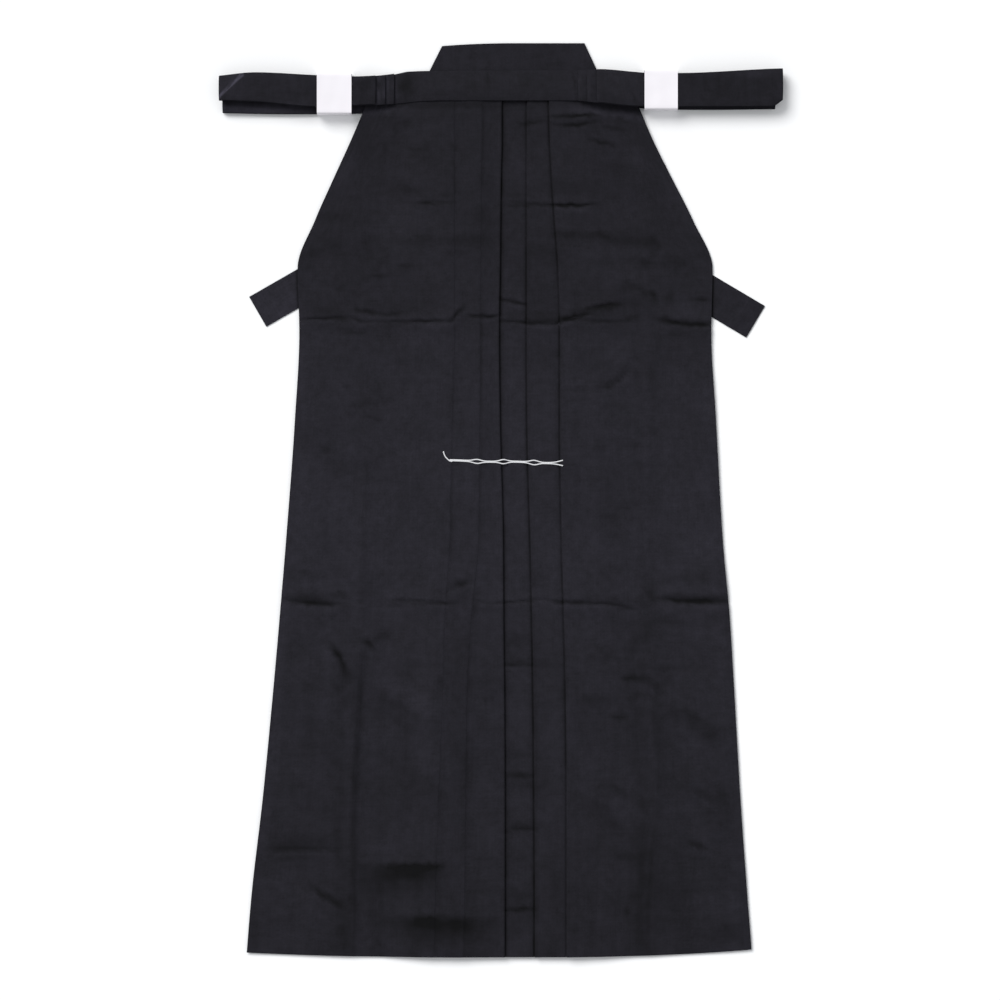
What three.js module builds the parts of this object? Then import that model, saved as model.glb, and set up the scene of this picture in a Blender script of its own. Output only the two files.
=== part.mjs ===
// Hakama trousers laid flat with the front up, in millimetres.
// +X is the wearer's left, +Y runs from the hem towards the waist, and +Z is up from what they lie on.
import * as THREE from "three";

// Walls and the room between them.
const CLOTH = 1.0;
const TIE = 1.3; // a tie is doubled cloth, pressed flat
const PAPER = 0.6;
const GAP = 0.3; // between pieces, and between the layers of a fold
const PITCH = CLOTH + GAP; // from one layer of a pleat to the next
const TIE_PITCH = TIE + GAP;
const FALL = 0.11; // how steeply a layer sinks past the edge of one under it

// Heights of the middle of the lowest layer of each piece.
const BACK_LEVEL = CLOTH / 2;
const FRONT_SIDE_LEVEL = 1.9; // front panel over a single layer of the back
const FRONT_MIDDLE_LEVEL = 4.6; // front panel over the pleats of the back
const FRONT_WAIST_LEVEL = 4.0; // front panel over the back board

// The garment's outline and its pleats.
const TOP_Y = 462; // the front's top edge, inside the waistband
const SEAM_Y = 451; // the back's top edge, sewn to the board
const HEM_Y = -517;
const HEM_RISE = { right: 5, left: 8.5 }; // how far the hem rises to each side seam
const MIDDLE_X = 15; // the middle of the back, and of the strip between the pleats in front
const SLIT_TOP_Y = 262; // the side edges turn in to the waist above this
const SLIT_END_Y = 190; // the slit straps are sewn in just above this
const BACK_INSET = 3; // the back's edge lies this far inside the front's
const SLIT_INSET = 24; // and this far behind the slit straps
const BELOW_SLIT_Y = 91;
const SEAM_COVER = 8; // the seam at the middle of the front lies this far under the third pleat

// From the waist to the hem: the two side edges, and the folded edge of each pleat.
// Pleats 1, 2 and 3 are on the wearer's right leg, and 4 and 5 on the left.
const ROWS = [
  { y: TOP_Y, right: -146, p1: -51, p2: -20, p3: 2, p4: 30.5, p5: 55, left: 150 },
  { y: 446, right: -152, p1: -51, p2: -20, p3: 2, p4: 30.5, p5: 55.5, left: 156.5 },
  { y: 407, right: -168.5, p1: -51, p2: -20, p3: 2, p4: 30.5, p5: 56.5, left: 173 },
  { y: 362, right: -189, p1: -51, p2: -20.5, p3: 1, p4: 30.5, p5: 59, left: 195.5 },
  { y: 317, right: -209, p1: -51, p2: -21, p3: 0.5, p4: 30.5, p5: 62, left: 218 },
  { y: SLIT_TOP_Y, right: -229, p1: -51, p2: -21.5, p3: 0, p4: 30.5, p5: 66, left: 240.5 },
  { y: SLIT_END_Y, right: -227, p1: -51, p2: -22, p3: -1, p4: 30.5, p5: 68, left: 239 },
  { y: BELOW_SLIT_Y, right: -232, p1: -53.5, p2: -22.5, p3: 0, p4: 31, p5: 68, left: 244.3 },
  { y: -45, right: -242, p1: -56.5, p2: -24, p3: 3.5, p4: 34.5, p5: 70, left: 252 },
  { y: -135, right: -249.5, p1: -62, p2: -32, p3: 4, p4: 36.5, p5: 72.5, left: 260 },
  { y: -225, right: -257.5, p1: -64.5, p2: -37, p3: 5, p4: 38, p5: 74.5, left: 265.5 },
  { y: -338, right: -268.5, p1: -69, p2: -38.5, p3: 5.5, p4: 39, p5: 75.5, left: 272 },
  { y: -451, right: -281.5, p1: -72.5, p2: -40, p3: 5.5, p4: 39.5, p5: 75.5, left: 280 },
  { y: HEM_Y, right: -286.5, p1: -74, p2: -41, p3: 5.5, p4: 39.5, p5: 75.5, left: 284.5 },
];
const PLEAT_DEPTH = 40; // the outermost pleat of each leg
const SECOND_FOLD = 12; // the next pleat's hidden fold, past the outermost pleat's edge
const LEFT_FOLD = 14; // pleat 4's hidden fold, past pleat 5's edge
const BACK_PLEAT = { waist: 34, hem: 58, depth: 22 }; // its edge from the middle, and how deep it is
const BACK_PLEATS_REACH = { full: 96, none: 140 }; // how far from the middle line they hold the front up
const BOARD_REACH = { full: 446, none: 362 }; // how far up the front rises on to the board
const SIDE_STRETCHES = 5; // straight stretches across a front's side
const BACK_STRETCHES = 4;

// The back board, as its half widths and its height above the seam.
const BOARD = { x: MIDDLE_X, bottom: 111, top: 80.5, height: 65.5, thick: 3.0, crown: 0.7, round: 0.6 };

// The front tie's edges along X. It narrows and slants where it is folded up.
const FRONT_TIE_EDGES = [
  { x: -320, low: 452, high: 480 },
  { x: -276, low: 450.5, high: 484 },
  { x: -207, low: 445, high: 480 },
  { x: -167, low: 446, high: 478.5 },
  { x: -120, low: 448, high: 483 },
  { x: -81, low: 451.5, high: 485.5 },
  { x: 80, low: 451.5, high: 486 },
  { x: 112, low: 449, high: 486.5 },
  { x: 155, low: 444.5, high: 484 },
  { x: 201, low: 444.5, high: 483 },
  { x: 320, low: 445, high: 488.5 },
];
// Its height along X: over the pleats, over the sides of the front, and on the folded back ties.
const FRONT_TIE_RISE = [
  { x: -320, z: 8.0 },
  { x: -150, z: 8.0 },
  { x: -112, z: 9.6 },
  { x: -96, z: 11.6 },
  { x: 100, z: 11.6 },
  { x: 118, z: 9.6 },
  { x: 155, z: 8.0 },
  { x: 320, z: 8.0 },
];
const FRONT_FOLDS = { layers: 7, right: { outer: -319, inner: -119 }, left: { outer: 319, inner: 88 } };
const WAIST_PLACES = [-112, -96, -32, 32]; // where the front tie bends between its two folded ends

// The back ties' edges and height, by distance from the garment's middle line to the outer end.
const BACK_TIE_EDGES = {
  right: [
    { x: -318, low: 438, high: 471 },
    { x: -162, low: 437, high: 471 },
    { x: -104, low: 452, high: 485 },
    { x: -80, low: 452, high: 485 },
  ],
  left: [
    { x: 100, low: 452, high: 485 },
    { x: 134, low: 452, high: 485 },
    { x: 170, low: 442, high: 476 },
    { x: 318, low: 442.5, high: 477 },
  ],
};
const BACK_FOLDS = { layers: 4, right: { outer: -317, inner: -164 }, left: { outer: 317, inner: 170 } };
const BACK_TIE_LEVEL = TIE / 2; // where it leaves the board
const BUNDLE_LEVEL = PAPER + GAP + TIE / 2; // where the paper passes under it
const BACK_TIE_CLIMB = 24; // the length over which it rises from one to the other

const PAPER_BANDS = {
  right: { from: -206.5, to: -167.5, low: 435.6, high: 482.5 },
  left: { from: 163, to: 201, low: 440.5, high: 486.5 },
};
const PAPER_TOP = 19.3;
const PAPER_CORNER = 1.2;

// Each slit strap: the middle of its outer end, the way it points, and its size.
const TABS = {
  right: { x: -274.2, y: 213, angle: 209.9, length: 66, width: 39 },
  left: { x: 289.3, y: 201.7, angle: -30.7, length: 70, width: 41.5 },
};
const TAB_ROUND = 2;
const TIE_STRETCHES = 6; // straight stretches along one layer of a folded tie

const FOLD_STEPS = 3; // straight steps round a fold
const TURN = PITCH / 2 + CLOTH / 2; // from where a layer starts to turn to its folded edge
const TIE_TURN = TIE_PITCH / 2 + TIE / 2;

const black = { color: 0x26252b, roughness: 0.92, metalness: 0 };
const MATERIALS = {
  panel: new THREE.MeshStandardMaterial(black),
  board: new THREE.MeshStandardMaterial({ ...black, roughness: 0.9 }),
  tie: new THREE.MeshStandardMaterial({ ...black, roughness: 0.88 }),
  paper: new THREE.MeshStandardMaterial({ color: 0xf3eeec, roughness: 0.8, metalness: 0 }),
};

// The value of a column at a place along a table's rows.
function along(table, key, place, column) {
  const rows = [...table].sort((a, b) => a[key] - b[key]);
  const next = rows.findIndex((row) => row[key] >= place);
  if (next === 0) return rows[0][column];
  if (next < 0) return rows[rows.length - 1][column];
  const below = rows[next - 1];
  const above = rows[next];
  return THREE.MathUtils.mapLinear(place, below[key], above[key], below[column], above[column]);
}

// Heights of a pile of layers, lowest first, on one shared list of x places. A layer is a pair of places in
// that list. Each lies on what is under it, and sinks away past an edge no more steeply than FALL.
function settle(places, layers, ground) {
  const pile = [];
  for (const [from, to] of layers) {
    const heights = places.map((x, i) => {
      let high = ground[i];
      for (const under of pile) {
        const near = Math.min(Math.max(i, under.from), under.to);
        high = Math.max(high, under.heights[near] + PITCH - FALL * Math.abs(x - places[near]));
      }
      return high;
    });
    pile.push({ from, to, heights });
  }
  return pile;
}

// The middle line of folded cloth as [x, z] points: along the layers from the top one down, with a round
// turn between each and the next. side is +1 where the first layer runs towards +X.
function foldedLine(places, pile, side) {
  const line = [];
  let way = side;
  for (const layer of [...pile].reverse()) {
    const run = [];
    for (let i = layer.from; i <= layer.to; i += 1) {
      run.push([places[i], layer.heights[i]]);
    }
    if (way < 0) run.reverse();
    if (line.length) line.push(...turn(line[line.length - 1], run[0], -way));
    line.push(...run);
    way = -way;
  }
  return line;
}

// The points between two ends of a half circle that bulges towards side.
function turn(start, end, side) {
  const radius = Math.hypot(end[0] - start[0], end[1] - start[1]) / 2;
  const points = [];
  for (let step = 1; step < FOLD_STEPS; step += 1) {
    const angle = (Math.PI * step) / FOLD_STEPS;
    const gone = (1 - Math.cos(angle)) / 2;
    const x = THREE.MathUtils.lerp(start[0], end[0], gone) + side * radius * Math.sin(angle);
    points.push([x, THREE.MathUtils.lerp(start[1], end[1], gone)]);
  }
  return points;
}

// Each point of a middle line moved half a wall to either side, square to the line.
function walls(line, thick) {
  return line.map(([x, z], i) => {
    const before = new THREE.Vector2(...line[Math.max(i - 1, 0)]);
    const after = new THREE.Vector2(...line[Math.min(i + 1, line.length - 1)]);
    const here = new THREE.Vector2(x, z);
    const into = i > 0 ? here.clone().sub(before).normalize() : after.clone().sub(here).normalize();
    const out = i < line.length - 1 ? after.clone().sub(here).normalize() : into;
    const way = into.clone().add(out).normalize();
    const half = thick / 2 / way.dot(into);
    return { a: [x - way.y * half, z + way.x * half], b: [x + way.y * half, z - way.x * half] };
  });
}

// A closed solid through rows of walls. rows[r] is a list of { a, b } whose members are THREE.Vector3.
function ribbonSolid(rows) {
  const count = rows[0].length;
  const positions = rows.flatMap((row) => row.flatMap(({ a, b }) => [a.x, a.y, a.z, b.x, b.y, b.z]));
  const index = [];
  const at = (row, i, face) => (row * count + i) * 2 + face;
  const quad = (p, q, r, s) => index.push(p, q, r, p, r, s);
  for (let row = 0; row < rows.length - 1; row += 1) {
    for (let i = 0; i < count - 1; i += 1) {
      quad(at(row, i, 0), at(row, i + 1, 0), at(row + 1, i + 1, 0), at(row + 1, i, 0));
      quad(at(row, i, 1), at(row + 1, i, 1), at(row + 1, i + 1, 1), at(row, i + 1, 1));
    }
    quad(at(row, 0, 0), at(row + 1, 0, 0), at(row + 1, 0, 1), at(row, 0, 1));
    const end = count - 1;
    quad(at(row, end, 0), at(row, end, 1), at(row + 1, end, 1), at(row + 1, end, 0));
  }
  const last = rows.length - 1;
  for (let i = 0; i < count - 1; i += 1) {
    quad(at(0, i, 0), at(0, i, 1), at(0, i + 1, 1), at(0, i + 1, 0));
    quad(at(last, i, 0), at(last, i + 1, 0), at(last, i + 1, 1), at(last, i, 1));
  }
  const geometry = new THREE.BufferGeometry();
  geometry.setAttribute("position", new THREE.Float32BufferAttribute(positions, 3));
  geometry.setIndex(signedVolume(positions, index) < 0 ? turnedRound(index) : index);
  geometry.computeVertexNormals();
  return geometry;
}

function signedVolume(positions, index) {
  const corner = (k) => new THREE.Vector3().fromArray(positions, index[k] * 3);
  let volume = 0;
  for (let k = 0; k < index.length; k += 3) {
    volume += corner(k).dot(corner(k + 1).cross(corner(k + 2))) / 6;
  }
  return volume;
}

function turnedRound(index) {
  const turned = [];
  for (let k = 0; k < index.length; k += 3) {
    turned.push(index[k], index[k + 2], index[k + 1]);
  }
  return turned;
}

// A panel from the waist to the hem, through one section a row.
function panel(rows, sectionOf) {
  const solid = rows.map((row) =>
    walls(sectionOf(row), CLOTH).map(({ a, b }) => ({ a: onRow(row, a), b: onRow(row, b) })),
  );
  return ribbonSolid(solid);
}

// A section's point put at its row, with the hem's row rising towards the sides.
function onRow(row, [x, z]) {
  const most = x < 0 ? HEM_RISE.right : HEM_RISE.left;
  const rise = row.y === HEM_Y ? most * Math.abs(x / row.left) ** 3 : 0;
  return new THREE.Vector3(x, row.y + rise, z);
}

// How far a value has gone from none to full, held between 0 and 1.
function share(value, none, full) {
  return THREE.MathUtils.clamp((value - none) / (full - none), 0, 1);
}

// The height on which the front's lowest layer lies.
function frontGround(x, y) {
  const onBoard = share(y, BOARD_REACH.none, BOARD_REACH.full);
  const onPleats = share(Math.abs(x - MIDDLE_X), BACK_PLEATS_REACH.none, BACK_PLEATS_REACH.full);
  const waist = THREE.MathUtils.lerp(FRONT_SIDE_LEVEL, FRONT_WAIST_LEVEL, onBoard);
  const middle = THREE.MathUtils.lerp(FRONT_SIDE_LEVEL, FRONT_MIDDLE_LEVEL, onPleats);
  return Math.max(waist, middle);
}

// So many whole numbers, from the first one on.
function placesFrom(first, count) {
  return Array.from({ length: count }, (_, i) => first + i);
}

// Places spread evenly from one x to another, without the last.
function spread(from, to, count) {
  return Array.from({ length: count }, (_, i) => from + ((to - from) * i) / count);
}

// The wearer's right front: the outermost pleat on top, and each next one lower.
function rightFrontSection(row) {
  const fold1 = row.p1 - PLEAT_DEPTH;
  const fold2 = row.p1 - SECOND_FOLD;
  const fold3 = (row.p1 + row.p2) / 2;
  const seam = row.p3 - SEAM_COVER;
  const places = [
    ...spread(row.right, fold1 + TURN, SIDE_STRETCHES),
    fold1 + TURN,
    fold2 + TURN,
    row.p1 - TURN,
    fold3 + TURN,
    row.p2 - TURN,
    seam,
    row.p3 - TURN,
  ];
  const [inner1, inner2, edge1, inner3, edge2, middle, edge3] = placesFrom(SIDE_STRETCHES, 7);
  const layers = [
    [inner3, edge3],
    [inner3, edge3],
    [inner2, edge3],
    [inner2, edge2],
    [inner1, edge2],
    [inner1, edge1],
    [0, edge1],
  ];
  const ground = places.map((x) => frontGround(x, row.y));
  const pile = settle(places, layers, ground);
  pile[0].to = middle; // from the seam on, the left front's low strip carries the pleat
  return foldedLine(places, pile, 1);
}

// The wearer's left front: two pleats, then the low strip that runs under the third pleat of the right.
function leftFrontSection(row) {
  const fold4 = row.p5 + LEFT_FOLD;
  const fold5 = row.p5 + PLEAT_DEPTH;
  const places = [
    row.p3 - SEAM_COVER + GAP,
    row.p3 + TURN,
    row.p4 + TURN,
    row.p5 + TURN,
    fold4 - TURN,
    fold5 - TURN,
    ...spread(row.left, fold5 - TURN, SIDE_STRETCHES).reverse(),
  ];
  const [start, , edge4, edge5, inner4, inner5] = placesFrom(0, 6);
  const side = inner5 + SIDE_STRETCHES;
  const layers = [
    [start, inner4],
    [edge4, inner4],
    [edge4, inner5],
    [edge5, inner5],
    [edge5, side],
  ];
  const ground = places.map((x) => frontGround(x, row.y));
  return foldedLine(places, settle(places, layers, ground), -1);
}

// How far the back's side edge lies from the middle line, on the side that sign names.
function backSide(row, sign) {
  const front = sign < 0 ? row.right : row.left;
  const slit = front - sign * SLIT_INSET;
  if (row.y <= BELOW_SLIT_Y) return front - sign * BACK_INSET;
  if (row.y <= SLIT_TOP_Y) return slit;
  const top = BOARD.x + sign * (BOARD.bottom - GAP);
  return THREE.MathUtils.mapLinear(row.y, SLIT_TOP_Y, SEAM_Y, slit, top);
}

// A back panel, laid from the side inwards, with its one pleat folded up inside.
function backSection(row, sign) {
  const edge = THREE.MathUtils.mapLinear(row.y, SEAM_Y, HEM_Y, BACK_PLEAT.waist, BACK_PLEAT.hem);
  const side = Math.abs(backSide(row, sign) - BOARD.x);
  const places = [
    GAP / 2,
    edge - BACK_PLEAT.depth,
    edge + TURN,
    edge + BACK_PLEAT.depth - TURN,
    ...spread(side, edge + BACK_PLEAT.depth - TURN, BACK_STRETCHES).reverse(),
  ];
  const [seam, , fold, inner] = placesFrom(0, 4);
  const ground = places.map(() => BACK_LEVEL);
  const layers = [
    [fold, inner + BACK_STRETCHES],
    [fold, inner],
    [seam, inner],
  ];
  const line = foldedLine(places, settle(places, layers, ground), 1);
  return line.map(([x, z]) => [BOARD.x + sign * x, z]);
}

// The back's rows start at the board's lower edge, below the front's top edge.
function backRows() {
  const [, second, ...rest] = ROWS;
  return [{ ...second, y: SEAM_Y }, ...rest];
}

// A tie as a flat strip along a line of [x, z] points, as wide as its table of edges says.
function strip(line, edges) {
  const faces = walls(line, TIE);
  const rows = ["low", "high"].map((column) =>
    faces.map(({ a, b }, i) => {
      const y = along(edges, "x", line[i][0], column);
      return { a: new THREE.Vector3(a[0], y, a[1]), b: new THREE.Vector3(b[0], y, b[1]) };
    }),
  );
  return ribbonSolid(rows);
}

// The layers of a folded end, from the one that leads out of the garment upwards. rise gives its height at
// an x, and each layer lies a step above the last.
function foldedEnd(folds, ends, rise) {
  const outward = Math.sign(ends.outer);
  const outer = ends.outer - outward * TIE_TURN;
  const inner = ends.inner + outward * TIE_TURN;
  const line = [];
  for (let layer = 0; layer < folds.layers; layer += 1) {
    const leaving = layer % 2 === 0;
    const [from, to] = leaving ? [inner, outer] : [outer, inner];
    const stops = [...spread(from, to, TIE_STRETCHES), to];
    const run = stops.map((x) => [x, rise(x) + layer * TIE_PITCH]);
    if (line.length) line.push(...turn(line[line.length - 1], run[0], leaving ? -outward : outward));
    line.push(...run);
  }
  return line;
}

function frontTie() {
  const rise = (x) => along(FRONT_TIE_RISE, "x", x, "z");
  const right = foldedEnd(FRONT_FOLDS, FRONT_FOLDS.right, rise).reverse();
  const left = foldedEnd(FRONT_FOLDS, FRONT_FOLDS.left, rise);
  const waist = WAIST_PLACES.map((x) => [x, rise(x)]);
  return strip([...right, ...waist, ...left], FRONT_TIE_EDGES);
}

function backTie(side) {
  const ends = BACK_FOLDS[side];
  const outward = Math.sign(ends.outer);
  const rise = (x) => {
    const climbed = share(Math.abs(x), Math.abs(ends.inner) - BACK_TIE_CLIMB, Math.abs(ends.inner));
    return THREE.MathUtils.lerp(BACK_TIE_LEVEL, BUNDLE_LEVEL, climbed);
  };
  const start = BOARD.x + outward * (BOARD.bottom + GAP);
  const climb = ends.inner - outward * BACK_TIE_CLIMB;
  const lead = [start, climb].map((x) => [x, rise(x)]);
  return strip([...lead, ...foldedEnd(BACK_FOLDS, ends, rise)], BACK_TIE_EDGES[side]);
}

// The back board: a stiff trapezium with a slightly crowned top edge and eased corners.
function backBoard() {
  const { bottom, top, height, thick, crown, round } = BOARD;
  const shape = new THREE.Shape();
  shape.moveTo(-bottom + round, round);
  shape.lineTo(bottom - round, round);
  shape.lineTo(top - round, height - crown - round);
  shape.quadraticCurveTo(0, height + crown - round, -top + round, height - crown - round);
  shape.closePath();
  const settings = { depth: thick - 2 * round, bevelThickness: round, bevelSize: round, bevelSegments: 2 };
  const geometry = new THREE.ExtrudeGeometry(shape, { ...settings, curveSegments: 8 });
  geometry.translate(0, 0, round);
  return geometry;
}

// A rectangle with round corners, run round the way a shape's outline or a hole's needs.
function roundRectangle(outline, low, high, corner) {
  const [x0, y0] = low;
  const [x1, y1] = high;
  outline.moveTo(x0 + corner, y0);
  outline.lineTo(x1 - corner, y0);
  outline.absarc(x1 - corner, y0 + corner, corner, -Math.PI / 2, 0);
  outline.lineTo(x1, y1 - corner);
  outline.absarc(x1 - corner, y1 - corner, corner, 0, Math.PI / 2);
  outline.lineTo(x0 + corner, y1);
  outline.absarc(x0 + corner, y1 - corner, corner, Math.PI / 2, Math.PI);
  outline.lineTo(x0, y0 + corner);
  outline.absarc(x0 + corner, y0 + corner, corner, Math.PI, 1.5 * Math.PI);
  return outline;
}

// The paper wrapped round a bundle of ties: a flat tube, open at both ends.
function paperBand({ from, to, low, high }) {
  const shape = roundRectangle(new THREE.Shape(), [low, 0], [high, PAPER_TOP], PAPER_CORNER);
  const inside = [high - PAPER, PAPER_TOP - PAPER];
  shape.holes.push(roundRectangle(new THREE.Path(), [low + PAPER, PAPER], inside, PAPER_CORNER - PAPER));
  const settings = { depth: to - from, bevelEnabled: false, curveSegments: 3 };
  const geometry = new THREE.ExtrudeGeometry(shape, settings);
  const alongTie = new THREE.Matrix4().makeBasis(
    new THREE.Vector3(0, 1, 0),
    new THREE.Vector3(0, 0, 1),
    new THREE.Vector3(1, 0, 0),
  );
  geometry.applyMatrix4(alongTie);
  geometry.translate(from, 0, 0);
  return geometry;
}

// A slit strap, from its outer end back under the front's edge.
function slitTab({ length, width }) {
  const shape = roundRectangle(new THREE.Shape(), [-length, -width / 2], [0, width / 2], TAB_ROUND);
  const settings = { depth: CLOTH, bevelEnabled: false, curveSegments: 3 };
  return new THREE.ExtrudeGeometry(shape, settings);
}

function named(name, geometry, material) {
  const mesh = new THREE.Mesh(geometry, material);
  mesh.name = name;
  return mesh;
}

const hakama = new THREE.Group();
hakama.add(named("front_leg_right", panel(ROWS, rightFrontSection), MATERIALS.panel));
hakama.add(named("front_leg_left", panel(ROWS, leftFrontSection), MATERIALS.panel));
const backLeg = (sign) => panel(backRows(), (row) => backSection(row, sign));
hakama.add(named("back_leg_right", backLeg(-1), MATERIALS.panel));
hakama.add(named("back_leg_left", backLeg(1), MATERIALS.panel));

const board = named("back_board", backBoard(), MATERIALS.board);
board.position.set(BOARD.x, SEAM_Y + GAP, 0);
hakama.add(board);

hakama.add(named("front_tie", frontTie(), MATERIALS.tie));
for (const side of ["right", "left"]) {
  hakama.add(named(`back_tie_${side}`, backTie(side), MATERIALS.tie));
  hakama.add(named(`paper_band_${side}`, paperBand(PAPER_BANDS[side]), MATERIALS.paper));
  const tab = named(`slit_tab_${side}`, slitTab(TABS[side]), MATERIALS.panel);
  tab.position.set(TABS[side].x, TABS[side].y, 0);
  tab.rotation.z = THREE.MathUtils.degToRad(TABS[side].angle);
  hakama.add(tab);
}

export default hakama;
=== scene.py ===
"""Hakama trousers laid flat with the front up.

They are pleated cloth, with a stiff back board, and ties folded into bundles."""

import math
from functools import partial
from typing import NamedTuple

import bmesh
import bpy
import numpy as np
from bpy.props import FloatProperty, FloatVectorProperty, PointerProperty
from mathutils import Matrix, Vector


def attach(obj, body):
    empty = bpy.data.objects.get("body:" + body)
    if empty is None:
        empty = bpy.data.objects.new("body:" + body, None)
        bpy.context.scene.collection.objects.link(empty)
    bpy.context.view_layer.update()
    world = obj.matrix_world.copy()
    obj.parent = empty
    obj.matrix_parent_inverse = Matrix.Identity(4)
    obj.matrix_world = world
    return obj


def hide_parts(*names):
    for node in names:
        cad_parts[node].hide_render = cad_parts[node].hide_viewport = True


bl_info = {
    "name": "Flat hakama",
    "version": (1, 0, 0),
    "blender": (4, 5, 0),
    "location": "3D View > Sidebar > Hakama",
    "description": "Models a hakama laid flat round its packed frame, with its creases, ties and a stage",
    "category": "Object",
}

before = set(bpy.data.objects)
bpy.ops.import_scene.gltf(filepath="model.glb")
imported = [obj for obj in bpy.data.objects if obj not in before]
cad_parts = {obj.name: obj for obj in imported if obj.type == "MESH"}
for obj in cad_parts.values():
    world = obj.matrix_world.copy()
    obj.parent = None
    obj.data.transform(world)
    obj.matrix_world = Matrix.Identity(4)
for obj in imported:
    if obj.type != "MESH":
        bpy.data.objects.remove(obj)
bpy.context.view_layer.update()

MM = 0.001
BODY = "root"

# Everything below is in millimetres: +X to the wearer's left, +Y from the hem to the waist, +Z up.

# From the waist to the hem: the side edges, each pleat's folded edge, and the pressed fold in each side.
# Pleats 1, 2 and 3 are on the wearer's right leg, and 4 and 5 on the left.
ROW_COLUMNS = ("y", "right", "fold_right", "p1", "p2", "p3", "p4", "p5", "fold_left", "left")
ROWS = (
    (462, -146, -120, -51, -20, 2, 30.5, 55, 122, 150),
    (446, -152, -126, -51, -20, 2, 30.5, 55.5, 130, 156.5),
    (407, -168.5, -141, -51, -20, 2, 30.5, 56.5, 148, 173),
    (362, -189, -150, -51, -20.5, 1, 30.5, 59, 162, 195.5),
    (317, -209, -157, -51, -21, 0.5, 30.5, 62, 167, 218),
    (262, -229, -153, -51, -21.5, 0, 30.5, 66, 169, 240.5),
    (190, -227, -150, -51, -22, -1, 30.5, 68, 170.5, 239),
    (91, -232, -151, -53.5, -22.5, 0, 31, 68, 170, 244.3),
    (-45, -242, -155, -56.5, -24, 3.5, 34.5, 70, 169, 252),
    (-135, -249.5, -159, -62, -32, 4, 36.5, 72.5, 167.5, 260),
    (-225, -257.5, -160.5, -64.5, -37, 5, 38, 74.5, 173, 265.5),
    (-338, -268.5, -167, -69, -38.5, 5.5, 39, 75.5, 176, 272),
    (-451, -281.5, -167.5, -72.5, -40, 5.5, 39.5, 75.5, 168, 280),
    (-517, -286.5, -167.5, -74, -41, 5.5, 39.5, 75.5, 167, 284.5),
)
TOP_Y, SEAM_Y, HEM_Y = 462, 451, -517
HEM_RISE = {"right": 5, "left": 8.5}  # how far the hem rises to each side seam
MIDDLE_X = 15  # the middle of the back and of the board
PLEAT_DEPTH = 40  # the outermost pleat of each leg
SECOND_FOLD = 12  # pleat 2's hidden fold, past pleat 1's edge
LEFT_FOLD = 14  # pleat 4's hidden fold, past pleat 5's edge
SEAM_COVER = 8  # the seam at the middle of the front lies this far under pleat 3
BACK_PLEAT = {"waist": 34, "hem": 58, "depth": 22}  # its edge from the middle, and how deep it is
BACK_INSET = 3  # the back's edge lies this far inside the front's
SLIT_INSET = 24  # the back's edge draws in this far behind the slit straps
SLIT_TOP_Y, SLIT_END_Y, BELOW_SLIT_Y = 262, 190, 91
BACK_PLEATS_REACH = (96, 140)  # how far from the middle of the back its pleats hold the front up
BOARD_REACH = (362, 446)  # how far up the front rises on to the board
HEM_RISE_Y = -440  # where the hem's rise starts
SEAM_REACH = (4, 14)  # the creases fade out this far below the seam, over this length

# Layers of pressed cloth, and the heights of the lowest layer's middle.
CLOTH = 0.7
LAYER_GAP = 0.15
PITCH = CLOTH + LAYER_GAP
FALL = 0.11  # how steeply a layer sinks past the edge of one under it
BACK_LEVEL = CLOTH / 2
FRONT_SIDE_LEVEL = 1.3
FRONT_MIDDLE_LEVEL = 3.6
FRONT_WAIST_LEVEL = 3.9
EDGE_LIFT = 0.5  # how far a sharp pleat's edge stands off the cloth under it
EDGE_REACH = 4.0
EDGE_GROOVE = 0.6  # how far that cloth is drawn down beside the edge
GROOVE_PLACE, GROOVE_REACH = 1.4, 1.3  # how far from the edge the groove lies, and half its width
EDGE_MEET = 1.5  # how far the cloth beside a soft pleat's edge comes up to meet it
MEET_START, MEET_RISE, MEET_REACH = 0.5, 1.1, 10  # where it starts to rise, how soon, and how far it fades
BESIDE = 3.0  # the stretch beside an edge that has its own columns
SNUG = 0.35  # and the closer one right at a soft pleat's edge

# How finely a sheet is made. A fine stretch has its middle along Y and half its length.
ROW_STEP = 3.7
FINE_STEP, FINE_FADE = 1.6, 14
FINE_ROWS = ((431, 8), (334, 4), (207, 16), (-114, 12), (-411, 4), (-472, 4), (-514, 3))
BOARD_CUTS, TAB_CUTS, PAPER_CUTS = 40, 44, 12
FOLD_STEPS = 5
HIDDEN_SKIP = 9  # a hidden layer keeps one column in this many

BOARD = {"bottom": 111, "top": 80.5, "height": 65.5, "thick": 2.4}  # bottom and top are half widths
BOARD_CROWN = {"right": 3.2, "left": 0.0}  # how far the top edge drops to its two ends
BOARD_GAP = 0.3  # between the board and the back's seam
BOARD_ROUND = 1.1
BOARD_WAVES = {"height": 0.12, "length": 38, "seed": 21}

TIE = 1.1  # doubled cloth, pressed flat
TIE_PITCH = 1.6  # from one layer of a bundle to the next
PRESSED = 0.4  # how much of its thickness a tie keeps at its pressed edges
TIE_STATIONS = 9  # points across a tie
TIE_ROUND = 0.3
TIE_SWELL = {"height": 0.18, "length": 40, "seed": 8}
TIE_EDGE_SHARE = 4.5  # how quickly a tie comes to its full thickness from its pressed edges
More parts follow.
